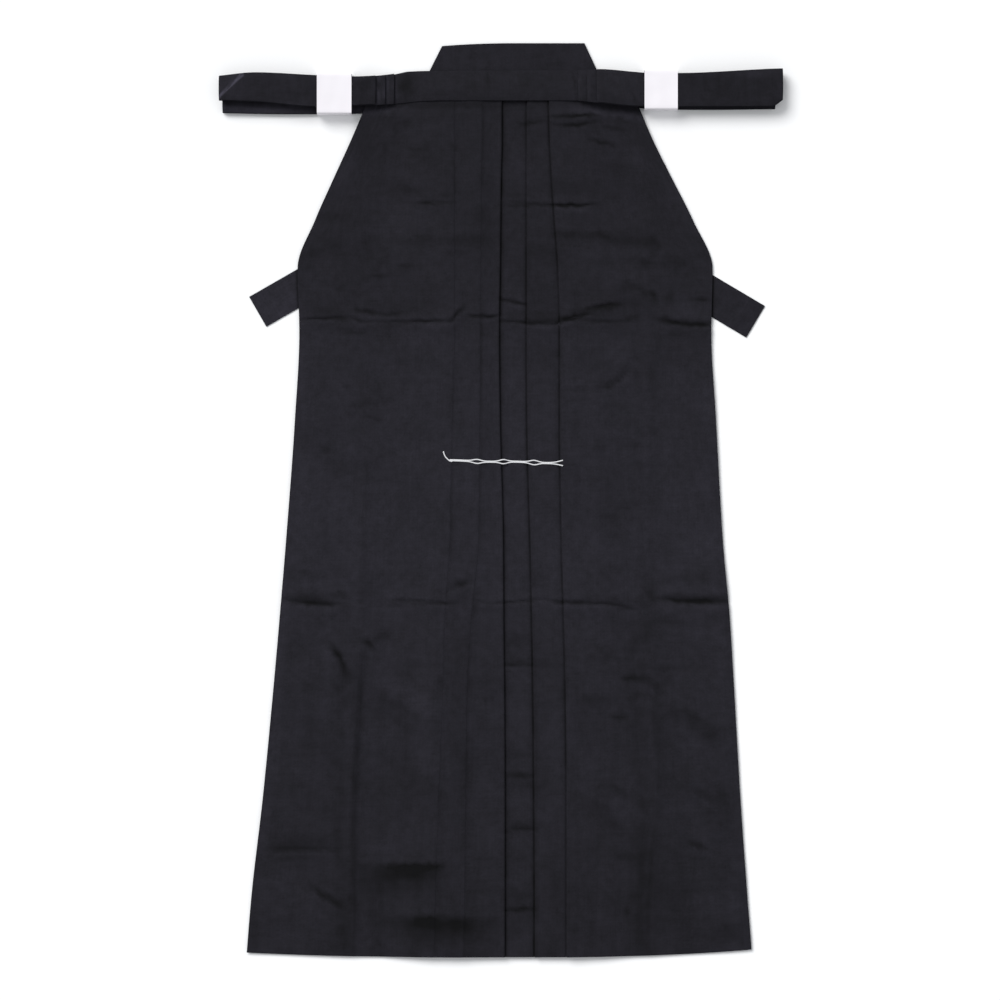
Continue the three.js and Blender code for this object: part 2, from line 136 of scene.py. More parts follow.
# The front tie's two edges along X and their heights. It slants where it is folded up.
FRONT_TIE_COLUMNS = ("x", "low", "high", "low_z", "high_z")
FRONT_TIE = (
    (-320, 451.5, 477.8, 8.0, 8.0),
    (-276, 450, 482, 8.0, 8.0),
    (-207, 444.5, 478.8, 8.0, 8.0),
    (-167, 445.5, 477.3, 8.0, 8.0),
    (-150, 446.5, 478, 6.4, 6.0),
    (-119, 448, 481.5, 5.1, 2.6),
    (-104, 449.5, 484.5, 5.4, 2.5),
    (-88, 451, 485.2, 7.0, 3.0),
    (-66, 451.5, 485.5, 8.6, 3.1),
    (10, 451.5, 486, 8.6, 3.1),
    (84, 451.5, 486, 8.2, 3.1),
    (112, 449, 486, 7.4, 4.2),
    (150, 445, 482.8, 7.4, 6.6),
    (165, 444.5, 481.5, 8.0, 8.0),
    (201, 444.2, 481.2, 8.0, 8.0),
    (306, 444.5, 486, 8.0, 8.0),
    (321, 453.5, 486.5, 8.0, 8.0),
)
# Where each bundle of layers ends: its outer end, then its inner one.
FRONT_BUNDLES = {"right": (-318, -119), "left": (320, 88)}
FRONT_LAYERS = 7
BACK_TIE_COLUMNS = ("x", "low", "high")
BACK_TIES = {
    "right": ((-318, 438, 471), (-240, 436.6, 470.5), (-162, 437, 471), (-104, 452, 485)),
    "left": ((132, 452, 485), (170, 442, 476), (240, 441.6, 476), (318, 442.5, 477)),
}
BACK_BUNDLES = {"right": (-314.5, -164), "left": (312, 170)}
BACK_LAYERS = 4
BACK_TIE_LEVEL = TIE / 2  # where a back tie leaves the board
BUNDLE_LEVEL = 1.5  # where the paper passes under it
BACK_TIE_CLIMB = 24  # the length over which it rises from one to the other
# Each layer of a bundle lies a little off the one below it: along the tie at its two folds, and across it.
LAYER_SHIFTS = (
    (0, 0, 0),
    (0.5, 0.6, 0.7),
    (1.2, 0.2, -0.5),
    (0.2, 10.8, 0.4),
    (0.9, 10.2, -0.8),
    (0, 21.5, 0.5),
    (0, 21, 0),
)
BUNDLE_COLUMNS = 56  # to a layer
WAIST_COLUMNS = 90
LEAD_COLUMNS = 16  # from the board to a back tie's bundle

# The turned corner at the end of the front tie's right bundle, with a painted highlight along its edge and a
# lighter inside.
CORNER = {"x0": -319.5, "y0": 452, "x1": -293, "y1": 478, "edge": 4.2, "inside": 0.4, "line": 1.1}
# The slanting fold that cuts the corner off: how blunt its end is, and how steeply it rises along X.
CORNER_CUT = {"from_x": -280, "blunt": 2, "slope": 1.02}

# Each paper band's two ends along X, and its two sides along Y.
PAPER_BANDS = {"right": (-206.5, -167.5, 435.6, 481.6), "left": (163, 200.4, 440.5, 485.4)}
PAPER_TOP = 19.3
PAPER_WALL = 0.45
PAPER_ROUND = 2.2
PAPER_EASE = {"end": 0.3, "waves": 0.12, "sink": 0.2}  # how far its ends lift and its top lies unevenly

# Each slit strap: the middle of its outer end, the way it points, its length and width, and how much lighter
# it is.
TABS = {"right": (-274.2, 213, 209.9, 66, 39, 0.45), "left": (289.3, 201.7, -30.7, 70, 41.5, 0.02)}
TAB_THICK = 0.8
TAB_CLEAR = 0.05  # between a strap and what the garment lies on
TAB_RISE = 0.35  # how unevenly its free end lies
TAB_FREE, TAB_EASE = 0.66, 20  # the share of its length that lies free, and how gently that starts
TAB_SHADE = {"reach": 2.2, "dark": 0.95}  # the shade on it beside the panel's edge

# The basting thread, from the end with its tail to the two free ends, and where its two strands part: the
# middle, half the length and half the width of each gap.
THREAD_START, THREAD_END, THREAD_POINTS = -57, 71, 88
THREAD_Y, THREAD_DROP = 44.5, -0.022
THREAD_BESIDE, THREAD_LIFT = 0.55, 0.55
THREAD_REACH = (-6, -3, 0, 3, 6)  # it lies on the highest cloth this near it
THREAD_GAPS = ((-26, 6, 1.7), (4, 5.5, 1.8), (38.5, 6, 2.0), (75, 10, 2.9))
THREAD_TAIL = ((-54, 43.5), (-57, 44.2), (-59, 46), (-61.5, 48.5), (-63, 51.5), (-64, 55))


class Crease(NamedTuple):
    """A line pressed or rumpled into the cloth, from one end to the other. bow is how far its middle stands
    to the left of the straight line. A valley rises on both sides of its line, and a crest falls away from
    it. left and right are how far each flank reaches."""

    x0: float
    y0: float
    x1: float
    y1: float
    bow: float
    height: float
    left: float
    right: float
    valley: bool = False


# The fold across the thighs from storage, which steps up and down at the pleats.
UPPER_STORAGE = (
    Crease(-230, 203, -165, 205, 1.5, 0.9, 4, 4, True),
    Crease(-172, 204, -100, 201, -1, 0.8, 4, 4, True),
    Crease(-164, 214, -118, 208, 1, 0.5, 4, 5, True),
    Crease(-104, 201, -52, 203, -1, 1.0, 4, 4, True),
    Crease(-55, 202, -37, 215, 2, 0.9, 4, 3, True),
    Crease(-34, 209, -1, 208, -1.5, 1.0, 4, 4, True),
    Crease(0, 227, 31, 219, 1, 0.9, 3, 4, True),
    Crease(0, 201.5, 31, 200, 1, 0.8, 3, 3, True),
    Crease(29, 200, 69, 199, -1, 1.0, 4, 4, True),
    Crease(68, 201, 104, 209, 2, 1.1, 5, 4, True),
    Crease(98, 214, 136, 221, 2, 1.1, 5, 4, True),
    Crease(76, 204, 150, 202, -1, 0.5, 4, 4, True),
    Crease(184, 203, 242, 198, -2, 1.3, 6, 5, True),
)
# The fold below the knee, deep at both side seams.
LOWER_STORAGE = (
    Crease(-244, -112, -182, -118, -2, 1.3, 7, 6, True),
    Crease(-182, -112, -148, -116, 0, 0.5, 4, 4, True),
    Crease(-124, -114, -52, -117, 1, 0.8, 4, 4, True),
    Crease(-60, -104, -26, -90, 2, 0.6, 7, 6, True),
    Crease(-28, -113, 6, -117, -1, 0.6, 4, 4, True),
    Crease(5, -116, 37, -115, 0.5, 0.8, 3, 3, True),
    Crease(36, -112, 72, -117, 1, 0.8, 4, 4, True),
    Crease(70, -115, 152, -123, 2, 1.1, 5, 5, True),
    Crease(182, -112, 256, -115, -1, 1.5, 8, 7, True),
)
# Short pressed marks in the upper half.
UPPER_MARKS = (
    Crease(-100, 397, -78, 395, 0.5, 0.3, 4, 4, True),
    Crease(-96, 335, -50, 336, 1, 0.6, 3, 3, True),
    Crease(-130, 296, -35, 299, -2, 0.5, 5, 6),
    Crease(-196, 290, -152, 287, 2, 0.4, 8, 6),
    Crease(56, 432, 112, 435, 1, 0.7, 3, 3, True),
    Crease(56, 425, 108, 427, -2, 0.6, 3, 4, True),
    Crease(104, 407, 130, 399, 1, 0.7, 4, 4, True),
    Crease(11, 337, 64, 333, 0, 0.5, 3, 3, True),
    Crease(60, 333, 108, 334, -1, 1.0, 3, 4, True),
    Crease(98, 302, 142, 294, 2, 0.7, 5, 8),
    Crease(150, 278, 214, 271, -3, 0.7, 7, 9),
    Crease(130, 250, 170, 226, 5, 0.6, 6, 7, True),
    Crease(214, 228, 238, 226, 0, 0.5, 4, 4, True),
    Crease(-160, 254, -105, 256, 2, 0.4, 6, 6),
    Crease(98, 125, 146, 148, -7, 0.8, 7, 6, True),
    Crease(-90, 330, -60, 250, 6, 0.35, 12, 12),
    Crease(-205, 250, -170, 236, -3, 0.5, 8, 8, True),
)
# Rumples in the lower half, which mostly run down from the storage fold towards the hem.
LOWER_MARKS = (
    Crease(-196, -168, -172, -196, 5, 0.9, 6, 7, True),
    Crease(-160, -158, -138, -170, 2, 0.6, 5, 6, True),
    Crease(-140, -206, -84, -258, -4, 0.6, 12, 16),
    Crease(-226, -300, -222, -345, -3, 0.6, 12, 10),
    Crease(98, -172, 152, -177, 1, 0.6, 8, 9),
    Crease(136, -200, 170, -203, -2, 0.7, 6, 6, True),
    Crease(84, -222, 130, -218, 3, 0.6, 8, 12),
    Crease(126, -246, 152, -245, 0, 0.5, 5, 5, True),
    Crease(186, -226, 250, -262, -5, 1.0, 12, 10),
    Crease(206, -318, 244, -350, -3, 0.8, 10, 9),
    Crease(214, -386, 236, -397, 2, 0.6, 6, 6, True),
    Crease(134, -327, 142, -329, 0, 0.4, 6, 6, True),
    Crease(-262, -397, -186, -396, 2, 0.6, 9, 6, True),
    Crease(-216, -432, -178, -458, -4, 0.7, 7, 8, True),
    Crease(-166, -407, -66, -407, -3, 0.9, 9, 26),
    Crease(-118, -469, -10, -470, 3, 0.8, 8, 22),
    Crease(-148, -376, -112, -374, -3, 0.7, 10, 12),
    Crease(170, -404, 120, -404, 2, 0.5, 10, 9),
    Crease(-104, -300, -62, -330, 4, 0.4, 12, 14),
    Crease(96, -330, 148, -372, 5, 0.45, 14, 12),
)
# Small steps across the low strip at the middle.
STRIP_MARKS = tuple(Crease(6, y, 38, y + rise, 1, depth, 3, 3, True) for y, rise, depth in (
    (-187, 1, 0.8),
    (-315, 2, 0.8),
    (-374, 3, 0.9),
    (-465, 2, 0.7),
    (110, -1, 0.3),
    (330, 1, 0.3),
))
# The pressed fold down the middle of each side, sharpest towards the hem.
SIDE_FOLDS = (
    Crease(-159, -176, -167, -512, -3, 1.5, 4, 22),
    Crease(-152, 92, -160, -190, 3, 0.35, 6, 9),
    Crease(-150, 360, -150, 100, -6, 0.4, 7, 9),
    Crease(168, -140, 169, -512, 7, 1.4, 16, 24),
    Crease(167, 320, 169, -120, -3, 0.5, 10, 12),
)
FRONT_CREASES = UPPER_STORAGE + LOWER_STORAGE + UPPER_MARKS + LOWER_MARKS + STRIP_MARKS + SIDE_FOLDS
BACK_SHARE = 0.45  # how much of the front's creases the cloth of the back takes up
SWELL = 0.5  # slow unevenness all over the cloth
DIP = 1.1  # how deep the darkest of the places lies
# Painted shade: the colour is darkened in lines beside the pleats' edges and the pressed folds.
LINE_PAINTED_SHADE = 0.78  # how dark the lines beside the pleats' edges are
# The cloth's colour is painted darker in its dips and lighter on its swells, as painted shade and light.
PAINTED_TONE_SHARE = 1.15  # how strongly the cloth's colour follows its dips and swells
BASE_MOTTLE = 0.08
# Painted light and shade: how much lighter the cloth is painted all along a line across it, from the top
# down.
PAINTED_LIGHT_ZONES = (
    (517, -0.10),
    (478, -0.14),
    (452, -0.17),
    (400, -0.12),
    (250, -0.11),
    (180, 0.0),
    (120, 0.07),
    (20, 0.10),
    (-50, 0.12),
    (-105, 0.08),
    (-200, 0.02),
    (-330, -0.04),
    (-430, -0.12),
    (-517, -0.14),
)
# Besides raising the cloth, the creases paint shade and light into its colour.
CREASE_LINE = 1.9  # half the width of the dark line down in a crease
CREASE_PAINTED_SHADE_AND_LIGHT = 0.22
TIE_CREASES = (
    Crease(-158, 445, -156, 482, 1, 0.5, 3, 4),
    Crease(-230, 480, -222, 458, 2, 0.4, 5, 5, True),
    Crease(-250, 464, -214, 461, 0, 0.35, 5, 5),
    Crease(100, 447, 103, 487, 0, 0.4, 4, 5),
    Crease(118, 456, 152, 452, 1, 0.5, 4, 4),
    Crease(147, 474, 158, 445, -4, 0.9, 3, 4, True),
    Crease(134, 484, 142, 466, 2, 0.4, 4, 4),
    Crease(213, 445, 215, 486, 1, 0.5, 4, 5),
    Crease(226, 450, 231, 484, -2, 0.6, 4, 4, True),
    Crease(250, 445, 247, 487, 1, 0.55, 5, 5, True),
    Crease(277, 445, 275, 488, -1, 0.5, 5, 4, True),
    Crease(288, 445, 290, 480, 1, 0.5, 4, 4),
    Crease(306, 447, 304, 489, 0, 0.5, 4, 5),
)


class PaintedPlace(NamedTuple):
    """A soft place of painted shade, where a panel also dips, or of painted light, where it swells: its
    middle, half its length and width, how far it is turned, and how much lighter it is painted, as a share."""

    x: float
    y: float
    long: float
    wide: float
    turn: float
    amount: float


PAINTED_PLACES = tuple(PaintedPlace(*row) for row in (
    # the waistband and the ties, with painted light where the bundles and their folded ends cast shade
    (-106, 467, 10, 14, 0, -0.36),
    (-138.6, 464, 1.9, 20, 0, 0.9),
    (-129, 464, 1.9, 20, 0, 0.9),
    (-118.8, 466, 1.9, 20, 0, 0.45),
    (-122.5, 466, 1.3, 14, 0, 0.25),
    (-150, 470, 2.2, 11, 0, -0.25),
    (-158, 463, 2.2, 13, 0, -0.2),
    (-13.5, 476, 2.2, 12, 0, -0.32),
    (20, 474, 1.4, 9, 0, 0.25),
    (84.5, 473, 1.8, 10, 0, -0.3),
    (88, 474, 1.2, 9, 0, 0.2),
    (-5, 466, 75, 22, 0, -0.09),
    (-106, 470, 8, 16, 0, -0.15),
    (120, 470, 34, 16, 0, 0.1),
    (-280, 466, 40, 12, 0, 0.08),
    (265, 465, 64, 26, 0, -0.12),
    (292, 482, 24, 3.5, 3, 0.4),
    (313, 466, 1.5, 16, 0, 0.5),
    (-240, 479, 9, 2, 0, 0.3),
    (-214, 466, 5, 4, 0, -0.2),
    (-226, 459, 16, 3, 0, -0.16),
    (-270, 441, 62, 5.6, 0, 1.1),
    (-172, 441, 24, 5.6, 0, 0.8),
    (124, 437, 42, 5, -8, 0.6),
    (-133, 440, 26, 4.5, 4, 0.35),
    # round the waist
    (-70, 446, 80, 4, 0, -0.25),
    (-150, 402, 14, 24, 0, -0.12),
    (-176, 372, 22, 7, 65, 0.22),
    (-95, 395, 9, 2.5, 5, -0.3),
    (-82, 399, 3, 4, 0, -0.3),
    (-52, 398, 6, 3, -15, -0.2),
    (-130, 396, 3, 7, -15, -0.25),
    (-118, 418, 3, 8, 0, -0.2),
    (-108, 426, 9, 3, 0, -0.22),
    (-66, 436, 8, 6, 0, -0.12),
    (90, 434, 26, 2.4, 4, -0.55),
    (86, 424, 18, 3, 8, -0.5),
    (35, 426, 14, 2.4, 5, -0.4),
    (138, 430, 10, 3, -12, -0.28),
    (130, 420, 12, 3, -5, -0.3),
    (116, 404, 15, 2.8, -10, -0.45),
    (85, 406, 20, 11, 0, 0.10),
    (155, 384, 7, 10, 0, 0.14),
    (130, 374, 22, 11, 0, -0.16),
    (170, 398, 10, 18, 20, -0.12),
    (50, 395, 9, 5, 10, 0.14),
    (20, 385, 10, 26, 0, 0.08),
    # between the waist and the thighs
    (-190, 320, 18, 6, 0, -0.25),
    (-205, 310, 12, 5, 30, 0.10),
    (-80, 335, 14, 2.2, 0, -0.42),
    (-104, 352, 14, 5, -20, -0.25),
    (-60, 345, 18, 3, 10, -0.18),
    (-52, 360, 3, 20, 0, -0.18),
    (-100, 320, 30, 13, 0, 0.13),
    (-85, 308, 8, 4, 0, 0.12),
    (-90, 296, 18, 3, 0, -0.3),
    (-40, 294, 30, 7, 0, -0.24),
    (-48, 280, 12, 3, 5, -0.25),
    (-210, 279, 12, 5, 20, -0.3),
    (-152, 291, 6, 4, 0, -0.3),
    (-186, 290, 16, 8, 0, -0.15),
    (-190, 262, 22, 8, 0, 0.08),
    (-118, 276, 10, 14, 0, 0.10),
    (-70, 278, 22, 9, 0, 0.08),
    (-140, 253, 13, 3, 5, -0.26),
    (-105, 264, 13, 3.4, 5, -0.3),
    (-215, 262, 9, 4, 0, -0.2),
    (-22, 322, 10, 10, 20, -0.18),
    (-12, 340, 8, 26, 0, -0.12),
    (80, 333, 20, 3, 3, -0.65),
    (45, 334, 14, 2.2, 0, -0.35),
    (22, 334, 14, 2.6, 0, -0.25),
    (85, 326, 20, 3, 0, 0.16),
    (20, 345, 11, 2.2, 0, -0.22),
    (78, 352, 40, 9, 0, -0.12),
    (98, 300, 56, 5, 0, -0.2),
    (114, 300, 14, 3, -5, -0.25),
    (152, 293, 30, 6, -3, -0.32),
    (75, 299, 13, 6, 0, -0.15),
    (75, 309, 12, 4, 0, 0.14),
    (126, 282, 18, 3, 0, 0.14),
    (105, 280, 20, 8, 0, 0.08),
    (174, 286, 7, 14, 0, -0.25),
    (165, 268, 8, 6, 0, -0.3),
    (196, 272, 16, 6, 0, -0.25),
    (50, 281, 14, 7, 0, -0.16),
    (207, 328, 30, 6, 118, 0.2),
    (180, 340, 10, 30, 10, -0.12),
    (150, 330, 12, 20, 0, 0.06),
    (88, 250, 12, 16, 0, 0.08),
    # the storage fold across the thighs
    (-196, 213, 30, 5, -3, -0.2),
    (-185, 204, 26, 2.6, -2, -0.3),
    (-150, 213, 14, 3.5, -10, -0.4),
    (-120, 210, 12, 3, 5, -0.32),
    (-110, 216, 56, 10, 0, -0.12),
    (-140, 203, 6, 4, 0, 0.16),
    (-122, 197, 18, 3, 0, -0.3),
    (-165, 190, 14, 3, -8, -0.28),
    (-88, 203, 32, 2.6, 0, -0.36),
    (-70, 200, 12, 8, 20, 0.10),
    (-46, 213, 10, 3, 50, -0.36),
    (-30, 207, 12, 3, 0, -0.3),
    (-12, 208, 9, 3.2, 5, -0.45),
    (-14, 201, 10, 2, 0, 0.14),
    (15, 224, 17, 2.6, -12, -0.45),
    (14, 218, 10, 2, -10, 0.16),
    (15, 210, 14, 4, 0, -0.2),
    (40, 202, 40, 3.4, 0, -0.45),
    (50, 209, 20, 6, 0, -0.26),
    (80, 206, 14, 3, 5, -0.6),
    (95, 212, 17, 6, 12, -0.4),
    (120, 218, 17, 4.5, 8, -0.5),
    (150, 220, 30, 14, 0, -0.16),
    (148, 205, 12, 4, 20, -0.26),
    (115, 202, 14, 3, 0, -0.26),
    (135, 209, 12, 3, 10, 0.08),
    (172, 232, 8, 3.5, -40, -0.6),
    (145, 240, 15, 5, 0, -0.32),
    (192, 228, 9, 5, 70, -0.32),
    (226, 226, 12, 4, 0, -0.35),
    (213, 199, 27, 5, -4, -0.5),
    (232, 201, 12, 3, 5, -0.3),
    (186, 204, 15, 5, -10, -0.28),
    (212, 190, 14, 3, 0, -0.14),
    # above the knee
    (-222, 150, 10, 50, 0, 0.14),
    (-172, 128, 7, 4, -20, -0.25),
    (-108, 134, 8, 6, 0, -0.18),
    (-112, 155, 5, 4, 40, -0.2),
    (-150, 109, 16, 4, 8, -0.22),
    (-142, 92, 9, 3, -15, -0.25),
    (-192, 82, 10, 20, 10, -0.12),
    (-195, 56, 9, 4, -15, -0.32),
    (-125, 56, 8, 5, 0, -0.2),
    (-100, 68, 12, 4, 15, -0.16),
    (-175, 40, 22, 9, -10, -0.18),
    (-72, 140, 18, 30, 0, 0.05),
    (122, 128, 17, 3, -8, -0.32),
    (133, 138, 14, 4, 38, -0.28),
    (143, 146, 7, 5, 0, -0.18),
    (88, 125, 11, 2.6, 0, -0.22),
    (110, 170, 50, 20, 0, 0.05),
    (200, 152, 36, 46, 0, -0.10),
    (60, 165, 8, 6, 0, -0.2),
    (237, 110, 7, 36, 0, 0.16),
    (148, 61, 13, 4, 5, -0.28),
    (112, 58, 9, 7, 0, -0.18),
    (162, 40, 14, 6, 0, -0.12),
    (78, 150, 5, 45, 0, 0.10),
    # between the knee and the lower storage fold
    (-225, 10, 11, 60, 0, 0.16),
    (-170, 30, 5, 26, 0, 0.10),
    (-165, -40, 5, 26, 0, 0.12),
    (-122, 5, 26, 36, 0, -0.05),
    (-110, -8, 3, 12, 0, -0.2),
    (-222, -82, 15, 4, -10, -0.25),
    (-186, -80, 9, 4, 0, -0.2),
    (-232, -58, 10, 14, 0, 0.10),
    (-215, -97, 22, 5, 0, 0.10),
    (-215, -112, 27, 6, -3, -0.5),
    (-206, -118, 30, 3, 0, -0.35),
    (-182, -107, 9, 4, 0, -0.42),
    (-110, -112, 9, 3, 30, -0.28),
    (-84, -117, 32, 2.4, 0, -0.34),
    (-118, -119, 9, 3, 0, -0.25),
    (-45, -94, 10, 4, 5, -0.5),
    (-48, -112, 20, 12, 0, -0.12),
    (-68, -93, 8, 7, 0, 0.10),
    (20, -116, 16, 2.2, 0, -0.2),
    (85, -116, 22, 2.6, -3, -0.4),
    (130, -114, 32, 5, -5, -0.32),
    (140, -123, 15, 3, 0, -0.3),
    (218, -112, 36, 6.5, 0, -0.55),
    (228, -115, 28, 3.5, 0, -0.3),
    (170, -106, 9, 4, -50, -0.35),
    (190, -92, 13, 5, 20, -0.22),
    (226, -90, 26, 8, 0, -0.15),
    (125, -20, 8, 4, -20, -0.25),
    (142, -9, 8, 3, 0, -0.2),
    (155, 10, 30, 30, 0, -0.05),
    (110, -45, 22, 20, 0, 0.05),
    # below it, on the wearer's right
    (-250, -160, 9, 60, -4, 0.22),
    (-256, -260, 9, 60, -4, 0.20),
    (-265, -350, 7, 50, -4, 0.14),
    (-187, -168, 10, 4, -50, -0.5),
    (-182, -176, 7, 4.4, -50, -0.45),
    (-177, -190, 4, 11, 10, -0.5),
    (-194, -198, 4, 34, 0, 0.12),
    (-216, -210, 7, 9, 0, -0.2),
    (-204, -186, 4, 14, 0, -0.14),
    (-149, -163, 8, 4, -30, -0.55),
    (-134, -156, 12, 4, 15, -0.25),
    (-128, -150, 8, 6, 0, -0.2),
    (-108, -190, 13, 16, 0, -0.22),
    (-104, -220, 30, 13, -35, 0.16),
    (-95, -233, 12, 10, 0, 0.12),
    (-112, -234, 30, 5, -30, -0.22),
    (-132, -238, 24, 20, -30, -0.12),
    (-120, -285, 22, 20, -40, -0.1),
    (-105, -330, 44, 40, 0, -0.08),
    (-212, -252, 10, 20, 0, -0.18),
    (-214, -285, 30, 20, 0, -0.08),
    (-185, -270, 8, 40, 0, 0.06),
    (-172, -265, 5, 60, 0, 0.14),
    (-176, -400, 5, 60, 0, 0.12),
    (-48, -190, 11, 50, 0, -0.2),
    (-48, -290, 11, 50, 0, -0.12),
    (-36, -190, 2.4, 36, 0, -0.16),
    (-67, -208, 4, 14, 0, -0.25),
    (-40, -300, 5, 25, 0, -0.12),
    (-12, -225, 6, 6, 0, -0.3),
    (-15, -205, 9, 5, 0, -0.14),
    (-10, -150, 12, 8, 0, -0.14),
    (-28, -124, 4, 9, 0, -0.25),
    (-125, -387, 20, 10, 5, 0.22),
    (-104, -372, 8, 10, 0, 0.12),
    (-222, -386, 36, 8, 0, -0.3),
    (-222, -395, 36, 3, -1, -0.3),
    (-248, -394, 10, 5, 0, -0.15),
    (-230, -405, 16, 3, 5, -0.16),
    (-198, -447, 22, 4, -35, -0.34),
    (-208, -447, 4, 3, 0, 0.3),
    (-248, -466, 7, 7, -40, 0.16),
    (-235, -430, 24, 20, 0, 0.05),
    (-190, -420, 9, 20, 0, 0.08),
    # the two deep hollows near the hem
    (-100, -415, 28, 4, 0, -0.62),
    (-105, -421, 38, 9, 0, -0.45),
    (-115, -434, 44, 14, 0, -0.25),
    (-72, -413, 16, 4, 3, -0.25),
    (-84, -476, 11, 5, 0, -0.62),
    (-70, -478, 44, 8, 0, -0.38),
    (-68, -491, 34, 13, 0, -0.28),
    (-44, -484, 16, 14, 0, -0.2),
    (-130, -480, 26, 20, 0, -0.12),
    (-146, -450, 18, 16, 0, -0.1),
    # below it, on the wearer's left
    (250, -175, 8, 60, 4, 0.10),
    (188, -138, 24, 5, -4, -0.3),
    (168, -150, 6, 9, -20, -0.25),
    (118, -170, 13, 8, 0, -0.2),
    (148, -170, 9, 6, 0, -0.22),
    (190, -190, 27, 4, -2, -0.32),
    (195, -165, 14, 16, 0, -0.1),
    (153, -201, 14, 4.6, 4, -0.46),
    (176, -211, 12, 5, -45, -0.38),
    (188, -203, 8, 6, -30, -0.2),
    (108, -228, 20, 9, 0, -0.2),
    (136, -246, 11, 5, -12, -0.34),
    (222, -248, 24, 6, -28, -0.36),
    (236, -268, 13, 5, 0, -0.26),
    (195, -240, 18, 14, 0, -0.12),
    (60, -228, 20, 7, 20, -0.1),
    (136, -330, 13, 5, -35, -0.36),
    (112, -350, 14, 8, 10, -0.18),
    (126, -366, 10, 4, -30, -0.24),
    (228, -332, 16, 6, -22, -0.32),
    (222, -390, 10, 4, -25, -0.5),
    (145, -404, 20, 4, 0, -0.26),
    (190, -455, 26, 42, 0, -0.2),
    (256, -490, 20, 11, 0, -0.32),
    (255, -450, 14, 12, 0, 0.12),
    (215, -455, 12, 10, 0, 0.1),
    (143, -466, 5, 6, 0, -0.25),
    (110, -492, 14, 14, 0, -0.14),
    (252, -335, 8, 10, 0, -0.2),
    # steps across the low strip and beside it
    (20, -158, 16, 8, 0, -0.22),
    (21, -183, 15, 5, 0, -0.3),
    (21, -187, 16, 2, 0, -0.35),
    (55, -182, 15, 14, 0, -0.18),
    (21, -230, 14, 26, 0, 0.08),
    (18, 110, 16, 70, 0, 0.12),
    (27, -277, 5, 5, 0, 0.16),
    (20, -288, 14, 7, 0, -0.16),
    (21, -311, 16, 4, 0, -0.42),
    (22, -335, 12, 12, 0, 0.10),
    (22, -369, 16, 6, 5, -0.32),
    (22, -373, 16, 2, 5, -0.25),
    (22, -390, 14, 12, 0, 0.12),
    (22, -448, 16, 9, 0, -0.2),
    (24, -463, 15, 4, 0, -0.5),
    (20, -488, 9, 6, 0, -0.2),
    (46, -390, 3, 50, 0, 0.12),
))

# Where a line of shade runs down the cloth: a column of the rows, the way to its soft side, how wide its
# two sides are, and how dark it is from the waist to the hem.
SHADE_LINES = (
    ("p1", 1, 1.4, 2.0, (
        (462, 0.1), (200, 0.06), (120, 0.14), (40, 0.12), (15, 0.4), (-60, 0.34), (-90, 0.1), (-517, 0.04),
    )),
    ("p2", 1, 1.4, 2.0, (
        (462, 0.15), (410, 0.3), (365, 0.3), (340, 0.08), (215, 0.08), (195, 0.45), (115, 0.42), (80, 0.15),
        (20, 0.34), (-35, 0.3), (-60, 0.1), (-165, 0.24), (-330, 0.2), (-420, 0.08), (-517, 0.05),
    )),
    ("p3", 1, 1.6, 2.4, (
        (462, 0.25), (430, 0.7), (200, 0.8), (60, 0.75), (-100, 0.75), (-150, 0.65), (-517, 0.6),
    )),
    ("p4", -1, 1.6, 1.8, (
        (462, 0.45), (400, 0.25), (350, 0.15), (310, 0.5), (250, 0.75), (200, 0.6), (100, 0.85), (-517, 0.9),
    )),
    ("p5", -1, 1.5, 1.9, (
        (462, 0.6), (330, 0.7), (300, 0.45), (275, 0.65), (245, 0.15), (215, 0.3), (190, 0.8),
        (60, 0.8), (0, 0.45), (-60, 0.4), (-110, 0.6), (-280, 0.65), (-340, 0.3), (-517, 0.35),
    )),
    ("fold_right", 1, 1.6, 5.0, (
        (462, 0), (60, 0.02), (40, 0.22), (-100, 0.2), (-185, 0.08), (-205, 0.5), (-420, 0.42), (-500, 0.2),
    )),
    ("fold_left", 1, 3.0, 9.0, (
        (462, 0), (170, 0.02), (150, 0.22), (80, 0.12), (-210, 0.06), (-230, 0.4), (-400, 0.36),
        (-517, 0.08),
    )),
)


class HakamaSizes(bpy.types.PropertyGroup):
    """Sizes of the finish that the frame doesn't fix."""

    weave: FloatProperty(
        name="Weave",
        description="Distance between neighbouring threads of the cloth",
        default=0.00055,
        unit="LENGTH",
    )
    crease_depth: FloatProperty(
        name="Crease depth",
        description="How deep the pressed and rumpled lines are, as a share of their table",
        default=1.7,
        min=0,
        max=3,
        subtype="FACTOR",
    )
    thread: FloatProperty(
        name="Basting thread",
        description="Diameter of the pale thread that holds the pleats",
        default=0.00135,
        unit="LENGTH",
    )


class HakamaColours(bpy.types.PropertyGroup):
    """Colours of the cloth, the paper and the thread."""

    cloth: FloatVectorProperty(
        name="Cloth",
        description="Black cloth of the legs, the board and the ties",
        default=(0.0126, 0.0118, 0.0162),
        subtype="COLOR",
        min=0,
        max=1,
    )
    paper: FloatVectorProperty(
        name="Paper",
        description="Bands that hold the folded ties",
        default=(0.825, 0.797, 0.83),
        subtype="COLOR",
        min=0,
        max=1,
    )
    basting: FloatVectorProperty(
        name="Basting thread",
        description="Pale cotton that holds the pleats",
        default=(0.58, 0.58, 0.59),
        subtype="COLOR",
        min=0,
        max=1,
    )


# Tables and smooth curves.


